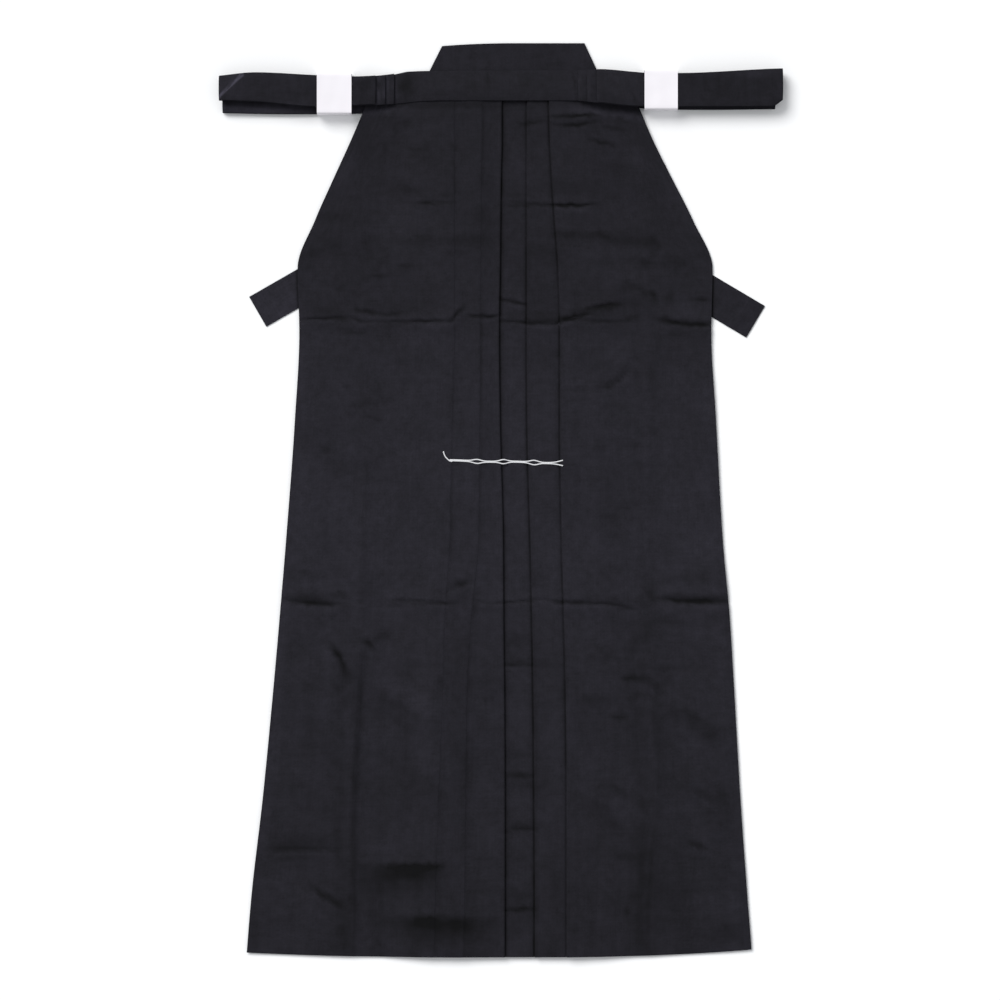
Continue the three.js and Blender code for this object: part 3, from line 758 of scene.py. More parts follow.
def through(xs, ys, at):
    """Heights at some places of a smooth curve through points, which never runs past them."""
    order = np.argsort(xs)
    x = np.asarray(xs, float)[order]
    y = np.asarray(ys, float)[order]
    step = np.diff(x)
    slope = np.diff(y) / step
    before, after = slope[:-1], slope[1:]
    total = before + after
    rising = before * after > 0
    middle = np.where(rising, 2 * before * after / np.where(rising, total, 1), 0)
    tangent = np.concatenate(([slope[0]], middle, [slope[-1]]))
    at = np.clip(at, x[0], x[-1])
    k = np.clip(np.searchsorted(x, at) - 1, 0, len(step) - 1)
    t = (at - x[k]) / step[k]
    bend0 = step[k] * tangent[k] * (t - 2 * t**2 + t**3)
    bend1 = step[k] * tangent[k + 1] * (t**3 - t**2)
    return y[k] + (y[k + 1] - y[k]) * (3 * t**2 - 2 * t**3) + bend0 + bend1


def column(table, names, name, at):
    """A table's column, read along its first one."""
    rows = np.asarray(table, float)
    return through(rows[:, 0], rows[:, names.index(name)], at)


def eased(share):
    """0 to 1 with soft ends."""
    share = np.clip(share, 0, 1)
    return share * share * (3 - 2 * share)


def swell(x, y, length, seed):
    """Slow uneven waves between about -1 and 1, whose crests stand roughly length apart."""
    draw = np.random.default_rng(seed)
    total = 0
    for _ in range(7):
        angle, phase = draw.uniform(0, 2 * math.pi, 2)
        pace = 2 * math.pi / (length * draw.uniform(0.7, 1.7))
        total = total + np.sin(pace * (x * math.cos(angle) + y * math.sin(angle)) + phase)
    return total / 3.2


def row_places():
    """The rows of a panel from the waist down, closer together where creases cross it."""
    places = [float(TOP_Y)]
    while places[-1] > HEM_Y:
        y = places[-1]
        far = min(max(abs(y - middle) - reach, 0) for middle, reach in FINE_ROWS)
        step = FINE_STEP + (ROW_STEP - FINE_STEP) * min(far / FINE_FADE, 1)
        places.append(max(y - step, HEM_Y))
    return np.array(places)


def crease_marks(x, y, creases):
    """How far the creases raise the cloth at each place, and how much painted shade and light they add.
    Nothing sinks, so layers never meet. Shade is painted down a valley's line and on one flank of a crest,
    light on a valley's shoulders and along a crest."""
    lift = np.zeros_like(x)
    tone = np.zeros_like(x)
    drift = swell(x, y, 26, 5)
    depth = 1 + 0.45 * swell(x, y, 17, 6)
    for crease in creases:
        run = np.array([crease.x1 - crease.x0, crease.y1 - crease.y0])
        length = float(np.hypot(*run))
        run = run / length
        along = (x - crease.x0) * run[0] + (y - crease.y0) * run[1]
        share = along / length
        off = (y - crease.y0) * run[0] - (x - crease.x0) * run[1]
        off = off - crease.bow * 4 * share * (1 - share) + 0.9 * drift
        reach = np.where(off > 0, crease.left, crease.right)
        fade = min(24 / length, 0.45)
        ends = eased((share + 0.5 * fade) / fade) * eased((1 + 0.5 * fade - share) / fade)
        away = np.abs(off) / reach
        soft = np.sqrt(away**2 + 0.02) - math.sqrt(0.02)
        if crease.valley:
            lift += crease.height * ends * soft * np.exp(1 - away)
            painted_light_and_shade = 0.35 * np.exp(-((away - 1) ** 2) / 0.3) - np.exp(-((off / CREASE_LINE) ** 2))
        else:
            lift += crease.height * ends * np.exp(-soft)
            shaded = np.exp(-((away - 0.6) ** 2) / 0.3) * (off < 0)
            painted_light_and_shade = 0.3 * np.exp(-((off / CREASE_LINE) ** 2)) - 0.6 * shaded
        tone += CREASE_PAINTED_SHADE_AND_LIGHT * crease.height * ends * painted_light_and_shade * depth
    return lift, tone


# Folded cloth.


def settle(places, layers, ground):
    """Heights of a pile of layers, lowest first, for every row of places. A layer is a pair of columns.
    Each lies on what is under it, and sinks away past an edge no more steeply than FALL."""
    pile = []
    for first, last in layers:
        high = ground.copy()
        for low_first, low_last, low in pile:
            near = np.clip(np.arange(places.shape[1]), low_first, low_last)
            rest = low[:, near] + PITCH - FALL * np.abs(places - places[:, near])
            high = np.maximum(high, rest)
        pile.append((first, last, high))
    return [(first, last, blurred(high, 5)) for first, last, high in pile]


def blurred(rows, times):
    """Rows of numbers, each softened along its length."""
    for _ in range(times):
        wide = np.pad(rows, ((0, 0), (1, 1)), mode="edge")
        rows = (wide[:, :-2] + 2 * wide[:, 1:-1] + wide[:, 2:]) / 4
    return rows


def shown(first, last, seen):
    """The columns that a layer keeps: all where it is seen, and few where it is hidden."""
    return [
        i
        for i in range(first, last + 1)
        if i in (first, last) or seen[0] <= i <= seen[1] or i % HIDDEN_SKIP == 0
    ]


def folded(places, pile, seen, way):
    """The middle line of folded cloth in every row, as (rows, columns) of x and of z, from the top layer
    down. way is +1 where the top layer runs towards +X."""
    xs, zs = [], []
    for (first, last, heights), view in zip(reversed(pile), reversed(seen)):
        keep = shown(first, last, view)
        if way < 0:
            keep.reverse()
        run_x, run_z = places[:, keep], heights[:, keep]
        if xs:
            turn_x, turn_z = turned(xs[-1][:, -1], zs[-1][:, -1], run_x[:, 0], run_z[:, 0], -way)
            xs.append(turn_x)
            zs.append(turn_z)
        xs.append(run_x)
        zs.append(run_z)
        way = -way
    return np.concatenate(xs, axis=1), np.concatenate(zs, axis=1)


def turned(x0, z0, x1, z1, side):
    """The columns round a fold, from one layer's end to the next one's start, bulging towards side."""
    radius = np.hypot(x1 - x0, z1 - z0) / 2
    xs, zs = [], []
    for step in range(1, FOLD_STEPS):
        angle = math.pi * step / FOLD_STEPS
        share = (1 - math.cos(angle)) / 2
        xs.append(x0 + share * (x1 - x0) + side * radius * math.sin(angle))
        zs.append(z0 + share * (z1 - z0))
    return np.stack(xs, axis=1), np.stack(zs, axis=1)


def spread(stops, counts):
    """Columns between stops, with a count for each stretch. A stop is one number a row."""
    parts = []
    for (start, end), count in zip(zip(stops, stops[1:]), counts):
        share = np.arange(count) / count
        parts.append(start[:, None] + (end - start)[:, None] * share[None, :])
    parts.append(stops[-1][:, None])
    return np.concatenate(parts, axis=1)


def front_ground(x, y):
    """The height that the front's lowest layer lies at: on the back's pleats, the sides or the board."""
    near, free = BACK_PLEATS_REACH
    far = (np.abs(x - MIDDLE_X) - near) / (free - near)
    side = FRONT_MIDDLE_LEVEL + (FRONT_SIDE_LEVEL - FRONT_MIDDLE_LEVEL) * np.clip(far, 0, 1)
    below, on_board = BOARD_REACH
    up = np.clip((y - below) / (on_board - below), 0, 1)
    waist = FRONT_SIDE_LEVEL + (FRONT_WAIST_LEVEL - FRONT_SIDE_LEVEL) * up
    return np.maximum(side, waist)


def stand_off(pile, places, edge, pair, under, side):
    """Stands a sharp pleat's folded edge off the cloth beside it, which is drawn down into a groove. edge
    is its column, pair its two layers, and side where the lower cloth is, -1 or 1."""
    past = side * (places - places[:, edge][:, None])
    raised = []
    for number, (first, last, heights) in enumerate(pile):
        if number in pair:
            heights = heights + EDGE_LIFT * np.exp(-((past / EDGE_REACH) ** 2))
        if number in under:
            heights = heights - EDGE_GROOVE * np.exp(-(((past - GROOVE_PLACE) / GROOVE_REACH) ** 2))
        raised.append((first, last, heights))
    return raised


def come_up(pile, places, edge, under, side):
    """Brings the cloth beside a soft pleat's edge up to meet it."""
    past = side * (places - places[:, edge][:, None])
    first, last, heights = pile[under]
    near = eased((past + MEET_START) / MEET_RISE) * np.exp(-np.maximum(past, 0) / MEET_REACH)
    pile[under] = (first, last, heights + EDGE_MEET * near)
    return pile


def right_front(y, at):
    """The wearer's right front in section: pleat 1 on top, then 2, then 3. at(name) reads the table."""
    turn = PITCH / 2 + CLOTH / 2
    p1, p2, p3 = at("p1"), at("p2"), at("p3")
    stops = [
        at("right"),
        at("fold_right"),
        p1 - PLEAT_DEPTH + turn,
        p1 - SECOND_FOLD + turn,
        p1 - turn,
        p1 - SNUG,
        p1 + SNUG,
        p1 + BESIDE,
        (p1 + p2) / 2 + turn,
        p2 - turn,
        p2 - SNUG,
        p2 + SNUG,
        p2 + BESIDE,
        p3 - SEAM_COVER,
        p3 - turn,
    ]
    counts = (28, 19, 8, 5, 2, 2, 3, 4, 5, 2, 2, 3, 5, 5)
    side, _, in1, in2, edge1, _, _, _, in3, edge2, _, _, _, seam, edge3 = np.cumsum((0,) + counts)
    places = spread(stops, counts)
    layers = [
        (in3, edge3),
        (in3, edge3),
        (in2, edge3),
        (in2, edge2),
        (in1, edge2),
        (in1, edge1),
        (side, edge1),
    ]
    pile = settle(places, layers, front_ground(places, y[:, None]))
    pile = stand_off(pile, places, edge3, (1, 2), (), 1)
    pile = come_up(pile, places, edge1, 4, 1)
    pile = come_up(pile, places, edge2, 2, 1)
    pile[0] = (in3, seam, pile[0][2])
    hidden = (-1, -1)
    seen = [hidden, hidden, (edge2, edge3), hidden, (edge1, edge2), hidden, (side, edge1)]
    return folded(places, pile, seen, 1)


def left_front(y, at):
    """The wearer's left front in section: pleat 5, pleat 4, and the low strip that runs under pleat 3."""
    turn = PITCH / 2 + CLOTH / 2
    p3, p4, p5 = at("p3"), at("p4"), at("p5")
    stops = [
        p3 - SEAM_COVER + LAYER_GAP,
        p3 - turn,
        p3 + BESIDE,
        p4 - BESIDE,
        p4 + turn,
        p5 - BESIDE,
        p5 + turn,
        p5 + LEFT_FOLD - turn,
        p5 + PLEAT_DEPTH - turn,
        at("fold_left"),
        at("left"),
    ]
    counts = (3, 5, 9, 5, 7, 5, 6, 9, 26, 26)
    seam, strip, _, _, edge4, _, edge5, in4, in5, _, side = np.cumsum((0,) + counts)
    places = spread(stops, counts)
    layers = [(seam, in4), (edge4, in4), (edge4, in5), (edge5, in5), (edge5, side)]
    pile = settle(places, layers, front_ground(places, y[:, None]))
    pile = stand_off(pile, places, strip, (), (0,), 1)
    pile = stand_off(pile, places, edge4, (1, 2), (0,), -1)
    pile = stand_off(pile, places, edge5, (3, 4), (0, 1, 2), -1)
    hidden = (-1, -1)
    seen = [(strip, edge4), hidden, (edge4, edge5), hidden, (edge5, side)]
    xs, zs = folded(places, pile, seen, -1)
    return xs[:, ::-1], zs[:, ::-1]


def back_section(y, at, sign):
    """Half of the back in section, with its one pleat folded up inside. sign is -1 on the wearer's right."""
    front = at("right") if sign < 0 else at("left")
    behind_slit = eased((y - BELOW_SLIT_Y) / (SLIT_END_Y - BELOW_SLIT_Y))
    inset = BACK_INSET + (SLIT_INSET - BACK_INSET) * behind_slit
    low_side = front - sign * inset
    top = MIDDLE_X + sign * BOARD["bottom"]
    slit = front - sign * SLIT_INSET
    up = np.clip((y - SLIT_TOP_Y) / (SEAM_Y - SLIT_TOP_Y), 0, 1)
    side = np.where(y > SLIT_TOP_Y, slit + (top - slit) * up, low_side)
    side = np.abs(side - MIDDLE_X)
    down = np.clip((SEAM_Y - y) / (SEAM_Y - HEM_Y), 0, 1)
    edge = BACK_PLEAT["waist"] + (BACK_PLEAT["hem"] - BACK_PLEAT["waist"]) * down
    turn = PITCH / 2 + CLOTH / 2
    depth = BACK_PLEAT["depth"]
    stops = [np.full_like(y, 0.15), edge - depth, edge + turn, edge + depth - turn, side]
    counts = (5, 8, 8, 36)
    seam, _, fold, inner, outer = np.cumsum((0,) + counts)
    places = spread(stops, counts)
    layers = [(fold, outer), (fold, inner), (seam, inner)]
    pile = settle(places, layers, np.full_like(places, BACK_LEVEL))
    seen = [(fold, outer), (-1, -1), (seam, fold)]
    xs, zs = folded(places, pile, seen, 1)
    return MIDDLE_X + sign * xs, zs


# Meshes.


def add_object(name, mesh):
    obj = bpy.data.objects.new(name, mesh)
    bpy.context.scene.collection.objects.link(obj)
    return obj


def only(obj):
    """Makes obj the one that is selected and active."""
    bpy.ops.object.select_all(action="DESELECT")
    obj.select_set(True)
    bpy.context.view_layer.objects.active = obj
    return obj


def grid_sheet(name, xs, ys, zs, across, down, flip=False):
    """A sheet through rows and columns of points in millimetres. across and down are the places along the
    cloth itself, which its weave follows."""
    rows, columns = xs.shape
    points = np.stack([xs, ys, zs], axis=2).reshape(-1, 3) * MM
    number = np.arange(rows * columns).reshape(rows, columns)
    corners = [number[:-1, :-1], number[1:, :-1], number[1:, 1:], number[:-1, 1:]]
    if flip:
        corners.reverse()
    faces = np.stack(corners, axis=2).reshape(-1, 4)
    mesh = bpy.data.meshes.new(name)
    mesh.from_pydata(points.tolist(), [], faces.tolist())
    layer = mesh.uv_layers.new(name="cloth")
    corner = faces.reshape(-1)
    uv = np.stack([across.reshape(-1)[corner], down.reshape(-1)[corner]], axis=1) * MM
    layer.data.foreach_set("uv", uv.reshape(-1))
    mesh.polygons.foreach_set("use_smooth", np.ones(len(faces), bool))
    return add_object(name, mesh)


def thicken(obj, thick, rim=0.0, group=""):
    """Gives a sheet its wall, half to each side, with eased edges where rim says, and a pressed edge where
    the points of group weigh less."""
    only(obj)
    wall = obj.modifiers.new("wall", "SOLIDIFY")
    wall.thickness = thick * MM
    wall.offset = 0
    if group:
        wall.vertex_group = group
        wall.thickness_vertex_group = PRESSED
    wall.use_quality_normals = True
    bpy.ops.object.modifier_apply(modifier=wall.name)
    if rim:
        ease = obj.modifiers.new("eased", "BEVEL")
        ease.width = rim * MM
        ease.segments = 2
        ease.limit_method = "ANGLE"
        ease.angle_limit = math.radians(60)
        bpy.ops.object.modifier_apply(modifier=ease.name)
    bpy.ops.object.shade_smooth_by_angle(angle=math.radians(50))
    return obj


def run_lengths(xs, ys, zs):
    """How far along the cloth each column lies, from the first one."""
    steps = np.sqrt(np.diff(xs, axis=1) ** 2 + np.diff(ys, axis=1) ** 2 + np.diff(zs, axis=1) ** 2)
    return np.concatenate([np.zeros((len(xs), 1)), np.cumsum(steps, axis=1)], axis=1)


def cut_area(across, ys):
    """The flat area of a sheet in square metres, from its developed width in each row."""
    widths = across[:, -1]
    heights = np.abs(np.diff(ys.mean(axis=1)))
    return float(np.sum((widths[:-1] + widths[1:]) / 2 * heights)) * MM * MM


def add_tone(obj, amounts):
    """Stores how much lighter or darker than the rest each point of the cloth is painted, with its painted
    shade and light.
    """
    layer = obj.data.attributes.new("tone", "FLOAT", "POINT")
    layer.data.foreach_set("value", np.asarray(amounts, float).reshape(-1))


def painted_shade_and_mottle_at(x, y):
    """How much lighter or darker than the rest the cloth is painted at each place, as a share: painted shade
    and light, and mottle.
    """
    zone = np.array(PAINTED_LIGHT_ZONES, float)
    mottle = (swell(x, y, 120, 11) + swell(x, y, 45, 12)) / 2
    total = through(zone[:, 0], zone[:, 1], y) + BASE_MOTTLE * mottle
    shift_x = x + 1.6 * swell(x, y, 13, 13)
    shift_y = y + 1.3 * swell(x, y, 11, 14)
    for place in PAINTED_PLACES:
        turn = math.radians(place.turn)
        dx, dy = shift_x - place.x, shift_y - place.y
        along = (dx * math.cos(turn) + dy * math.sin(turn)) / place.long
        off = (dy * math.cos(turn) - dx * math.sin(turn)) / place.wide
        total = total + place.amount * np.exp(-((along**2 + off**2) ** 1.2))
    return total


def line_tone(x, y, at):
    """The shade that runs down beside the pleats' edges and the pressed folds."""
    total = np.zeros_like(x)
    uneven = 1 + 0.25 * swell(x, y, 30, 15)
    for name, side, sharp, soft, amounts in SHADE_LINES:
        levels = np.array(amounts, float)
        amount = through(levels[:, 0], levels[:, 1], y)
        past = side * (x - at(name)[:, None]) - 0.8
        reach = np.where(past > 0, soft, sharp)
        total -= LINE_PAINTED_SHADE * amount * uneven * np.exp(-((past / reach) ** 2))
    return total


def make_panel(name, section, share, flip, sizes):
    """A leg's front or back: its sections from the waist to the hem, creased and given a wall."""
    places = row_places()
    if share < 1:
        places = places[places <= SEAM_Y]

    def at(key):
        return column(ROWS, ROW_COLUMNS, key, places)

    xs, zs = section(places, at)
    half = np.where(xs > 0, at("left")[:, None], -at("right")[:, None])
    down = eased((HEM_RISE_Y - places) / (HEM_RISE_Y - HEM_Y))[:, None]
    rise = np.where(xs > 0, HEM_RISE["left"], HEM_RISE["right"])
    ys = places[:, None] + rise * np.abs(xs / half) ** 3 * down
    across = run_lengths(xs, ys, zs)
    area = cut_area(across, ys)
    lift, marks = crease_marks(xs, ys, FRONT_CREASES)
    tone = painted_shade_and_mottle_at(xs, ys)
    dips = DIP * (1 + np.clip(tone, -0.8, 0.5))
    lift = sizes.crease_depth * lift + SWELL * (1 + swell(xs, ys, 90, 3)) + dips
    clear, fade = SEAM_REACH
    zs = zs + share * lift * eased((SEAM_Y - clear - ys) / fade)
    mean_across = np.broadcast_to(across.mean(axis=0), xs.shape)
    mean_down = np.broadcast_to(places[:, None], xs.shape)
    obj = grid_sheet(name, xs, ys, zs, mean_across, mean_down, flip)
    # Painted shade and light: the places, the zones and the creases, and the shade beside the pleats' edges.
    lines = line_tone(xs, ys, at) if share == 1 else 0
    add_tone(obj, PAINTED_TONE_SHARE * share * (tone + marks) + lines)
    thicken(obj, CLOTH)
    flat = (float(across[:, -1].max()) * MM, (places[0] - places[-1]) * MM)
    return obj, flat, min(area, flat[0] * flat[1])


# Ties.

def corner_highlight(x, y):
    """A painted highlight along the turned corner's edge, and the corner inside it painted a little lighter.
    """
    run = np.array([CORNER["x1"] - CORNER["x0"], CORNER["y1"] - CORNER["y0"]])
    run = run / np.hypot(*run)
    off = (y - CORNER["y0"]) * run[0] - (x - CORNER["x0"]) * run[1]
    edge = CORNER["edge"] * np.exp(-((off / CORNER["line"]) ** 2))
    return np.where(x < CORNER["x1"] + 3, edge + CORNER["inside"] * (off > 0), 0)


def tie_strip(name, xs, zs, table, names, shifts, cut=None):
    """A doubled tie along a folded line. shifts moves each column's layer across, and cut is the slanting
    fold at the free end."""
    across = np.linspace(0, 1, TIE_STATIONS)[:, None]
    low = column(table, names, "low", xs) + shifts
    high = column(table, names, "high", xs) + shifts
    if cut is not None:
        slant = low + CORNER_CUT["blunt"] + (xs - xs.min()) * CORNER_CUT["slope"]
        high = np.where(cut, np.minimum(high, slant), high)
    ys = low[None, :] + (high - low)[None, :] * across
    grid_x = np.broadcast_to(xs, ys.shape)
    if zs.ndim == 1:
        zs = np.broadcast_to(zs, ys.shape)
    lift, marks = crease_marks(grid_x, ys, TIE_CREASES)
    waves = swell(grid_x, ys, TIE_SWELL["length"], TIE_SWELL["seed"])
    zs = zs + lift + TIE_SWELL["height"] * (1 + waves)
    length = run_lengths(grid_x, ys * 0, zs)
    obj = grid_sheet(name, grid_x, ys, zs, length, ys, True)
    # Painted shade and light from the places and the creases, and the corner's painted highlight.
    add_tone(obj, painted_shade_and_mottle_at(grid_x, ys) + marks + corner_highlight(grid_x, ys))
    pressed = obj.vertex_groups.new(name="full")
    full = np.broadcast_to(eased(TIE_EDGE_SHARE * (0.5 - np.abs(across - 0.5))), ys.shape).reshape(-1)
    for vertex, weight in enumerate(full.tolist()):
        pressed.add([vertex], weight, "REPLACE")
    thicken(obj, TIE, TIE_ROUND, "full")
    width = float(np.mean(high - low))
    return obj, (width * MM, float(length.mean(axis=0)[-1]) * MM)


def bundle_line(ends, layers):
    """A folded end as its columns' x places, layer numbers and shifts across, from the garment outwards."""
    outer, inner = ends
    outward = math.copysign(1, outer)
    turn = TIE_PITCH / 2 + TIE / 2
    xs, numbers, shifts = [], [], []
    for layer in range(layers):
        at_outer, at_inner, aside = LAYER_SHIFTS[layer]
        start = inner + outward * (turn + at_inner)
        end = outer - outward * (turn + at_outer)
        run = np.linspace(start, end, BUNDLE_COLUMNS)
        if layer % 2:
            run = run[::-1]
        if xs:
            bulge = -outward if layer % 2 == 0 else outward
            centre = (xs[-1][-1] + run[0]) / 2
            angles = np.pi * np.arange(1, FOLD_STEPS) / FOLD_STEPS
            xs.append(centre + bulge * TIE_PITCH / 2 * np.sin(angles))
            numbers.append(layer - 1 + (1 - np.cos(angles)) / 2)
            shifts.append(np.linspace(shifts[-1][-1], aside, FOLD_STEPS - 1))
        xs.append(run)
        numbers.append(np.full(BUNDLE_COLUMNS, float(layer)))
        shifts.append(np.full(BUNDLE_COLUMNS, aside))
    return np.concatenate(xs), np.concatenate(numbers), np.concatenate(shifts)


def make_front_tie():
    """The front tie: its right bundle, the waistband, and its left bundle, in one strip."""
    right_x, right_n, right_s = (a[::-1] for a in bundle_line(FRONT_BUNDLES["right"], FRONT_LAYERS))
    left_x, left_n, left_s = bundle_line(FRONT_BUNDLES["left"], FRONT_LAYERS)
    waist_x = np.linspace(right_x[-1], left_x[0], WAIST_COLUMNS)[1:-1]
    xs = np.concatenate([right_x, waist_x, left_x])
    numbers = np.concatenate([right_n, waist_x * 0, left_n])
    shifts = np.concatenate([right_s, waist_x * 0, left_s])
    low = column(FRONT_TIE, FRONT_TIE_COLUMNS, "low_z", xs)
    high = column(FRONT_TIE, FRONT_TIE_COLUMNS, "high_z", xs)
    across = np.linspace(0, 1, TIE_STATIONS)[:, None]
    zs = low[None, :] + (high - low)[None, :] * eased((across - 0.2) / 0.8) + numbers * TIE_PITCH
    cut = (numbers >= FRONT_LAYERS - 1) & (xs < CORNER_CUT["from_x"])
    return tie_strip("front_tie_cloth", xs, zs, FRONT_TIE, FRONT_TIE_COLUMNS, shifts, cut)


def make_back_tie(side):
    """A back tie: sewn to the end of the board, then folded up under the front tie's bundle."""
    outer, inner = BACK_BUNDLES[side]
    outward = math.copysign(1, outer)
    xs, numbers, shifts = bundle_line(BACK_BUNDLES[side], BACK_LAYERS)
    start = MIDDLE_X + outward * (BOARD["bottom"] + 0.4)
    lead = np.linspace(start, xs[0], LEAD_COLUMNS)[:-1]
    xs = np.concatenate([lead, xs])
    numbers = np.concatenate([lead * 0, numbers])
    shifts = np.concatenate([lead * 0, shifts])
    climb = eased((np.abs(xs) - abs(inner) + BACK_TIE_CLIMB) / BACK_TIE_CLIMB)
    zs = BACK_TIE_LEVEL + (BUNDLE_LEVEL - BACK_TIE_LEVEL) * climb + numbers * TIE_PITCH
    return tie_strip(f"back_tie_cloth_{side}", xs, zs, BACK_TIES[side], BACK_TIE_COLUMNS, shifts)


# Materials.


class Value:
    """A shader socket in sums: each operation adds a Math node."""

    def __init__(self, finish, socket):
        self.finish = finish
        self.socket = socket

    def _math(self, operation, *others):
        return self.finish.value("ShaderNodeMath", {"operation": operation}, *others)

    def __add__(self, other):
        return self._math("ADD", self, other)

    __radd__ = __add__

    def __mul__(self, other):
        return self._math("MULTIPLY", self, other)

    __rmul__ = __mul__

    def __sub__(self, other):
        return self._math("SUBTRACT", self, other)

    def __rsub__(self, other):
        return self._math("SUBTRACT", other, self)

    def __truediv__(self, other):
        return self._math("DIVIDE", self, other)

    def __rtruediv__(self, other):
        return self._math("DIVIDE", other, self)

    def __mod__(self, other):
        return self._math("MODULO", self, other)

    def __rmod__(self, other):
        return self._math("MODULO", other, self)

    def floor(self):
        return self._math("FLOOR", self)

    def sine(self):
        return self._math("SINE", self)

    def size(self):
        return self._math("ABSOLUTE", self)

    def at_least(self, other):
        return self._math("MAXIMUM", self, other)

    def limited(self):
        return self.finish.value("ShaderNodeClamp", {}, self, 0.0, 1.0)


class Finish:
    """A material, built node by node."""

    MIX_FACTOR, MIX_A, MIX_B, MIX_OUT = 0, 6, 7, 2

    def __init__(self, name):
        self.material = bpy.data.materials.new(name)
        self.material.use_nodes = True
        self.tree = self.material.node_tree
        self.shader = self.tree.nodes["Principled BSDF"]

    def node(self, kind, settings, sockets):
        """Adds a node with its settings, then its sockets' values or links, by name or number."""
        made = self.tree.nodes.new(kind)
        for name, setting in settings.items():
            setattr(made, name, setting)
        for key, given in sockets.items():
            self.feed(made.inputs[key], given)
        return made

    def feed(self, socket, given):
        given = given.socket if isinstance(given, Value) else given
        if isinstance(given, bpy.types.NodeSocket):
            self.tree.links.new(given, socket)
        else:
            socket.default_value = given

    def value(self, kind, settings, *given):
        return Value(self, self.node(kind, settings, dict(enumerate(given))).outputs[0])

    def uv(self, across=1.0, down=1.0):
        """The place along the cloth, in metres, stretched by a factor each way."""
        place = self.node("ShaderNodeUVMap", {"uv_map": "cloth"}, {}).outputs["UV"]
        sockets = {0: place, 1: (across, down, 1)}
        return self.node("ShaderNodeVectorMath", {"operation": "MULTIPLY"}, sockets).outputs[0]

    def noise(self, place, scale, detail=2.0, roughness=0.5):
        made = self.node(
            "ShaderNodeTexNoise",
            {"noise_dimensions": "3D"},
            {"Vector": place, "Scale": scale, "Detail": detail, "Roughness": roughness},
        )
        return Value(self, made.outputs[0])

    def scaled(self, colour, amount):
        """A colour times an amount that varies."""
        settings = {"operation": "SCALE"}
        return self.node("ShaderNodeVectorMath", settings, {"Vector": colour, "Scale": amount}).outputs[0]

    def mixed(self, share, dark, light):
        sockets = {self.MIX_FACTOR: share, self.MIX_A: (*dark, 1), self.MIX_B: (*light, 1)}
        return self.node("ShaderNodeMix", {"data_type": "RGBA"}, sockets).outputs[self.MIX_OUT]

    def set(self, **sockets):
        for name, given in sockets.items():
            self.feed(self.shader.inputs[name.replace("_", " ")], given)

    def bump(self, height, distance, strength=1.0):
        sockets = {"Height": height, "Distance": distance, "Strength": strength}
        self.feed(self.shader.inputs["Normal"], self.node("ShaderNodeBump", {}, sockets).outputs[0])


def cloth_finish(name, colour, weave, shade=1.0):
    """Matt black plain weave: threads over and under, uneven yarn, and black that has taken unevenly."""
    finish = Finish(name)
    place = finish.node("ShaderNodeSeparateXYZ", {}, {0: finish.uv()})
    warp = Value(finish, place.outputs[0]) / weave
    weft = Value(finish, place.outputs[1]) / weave
    over = ((warp.floor() + weft.floor()) % 2.0).size()
    threads = (warp * math.pi).sine().size() * over + (weft * math.pi).sine().size() * (1.0 - over)
    yarn_down = finish.noise(finish.uv(700, 25), 1.0, 3.0)
    yarn_across = finish.noise(finish.uv(25, 500), 1.0, 3.0)
    rumple = finish.noise(finish.uv(), 110.0, 3.0, 0.6)
    mottle = finish.noise(finish.uv(), 30.0, 2.0)
    blotch = finish.noise(finish.uv(), 110.0, 2.0)
    speck = finish.noise(finish.uv(), 420.0, 3.0, 0.7)
    streak = finish.noise(finish.uv(55, 5), 1.0, 2.0)
    low = (0.15 - Value(finish, place.outputs[1])).limited()
    # The stored tone paints shade and light into the colour, with the cloth's mottle.
    stored = finish.node("ShaderNodeAttribute", {"attribute_name": "tone"}, {})
    tone = Value(finish, stored.outputs["Fac"])
    uneven = (mottle - 0.5) * 0.55 + (blotch - 0.5) * 0.7 + (speck - 0.5) * 0.85 + (streak - 0.5) * low * 1.2
    yarns = (yarn_down - 0.5) * 0.35 + (yarn_across - 0.5) * 0.30
    amount = (1.0 + uneven + yarns + (threads - 0.64) * 0.25).size() * (1.0 + tone).at_least(0.12)
    # shade darkens this whole copy of the cloth as painted shade.
    finish.set(
        Base_Color=finish.scaled([c * shade for c in colour], amount),
        Roughness=0.88 + (mottle - 0.5) * 0.12,
        Specular_IOR_Level=0.15,
        Sheen_Weight=0.03,
        Sheen_Roughness=0.5,
        Sheen_Tint=(0.75, 0.75, 0.9, 1),
    )
    finish.bump(threads * 0.10 + rumple * 0.6 + (yarn_down + yarn_across) * 0.08, 0.0006, 0.7)
    return finish.material


def paper_finish(colour):
    """Soft white paper with a faint grain."""
    finish = Finish("white_paper")
    place = finish.node("ShaderNodeTexCoord", {}, {}).outputs["Object"]
    grain = finish.noise(place, 900.0, 4.0, 0.6)
    cloud = finish.noise(place, 60.0, 2.0)
    dark = [c * 0.95 for c in colour]
    finish.set(
        Base_Color=finish.mixed((0.35 + (cloud - 0.5) + (grain - 0.5) * 0.6).limited(), colour, dark),
        Roughness=0.72 + (grain - 0.5) * 0.1,
        Specular_IOR_Level=0.3,
    )
    finish.bump(grain, 0.00008, 0.6)
    return finish.material


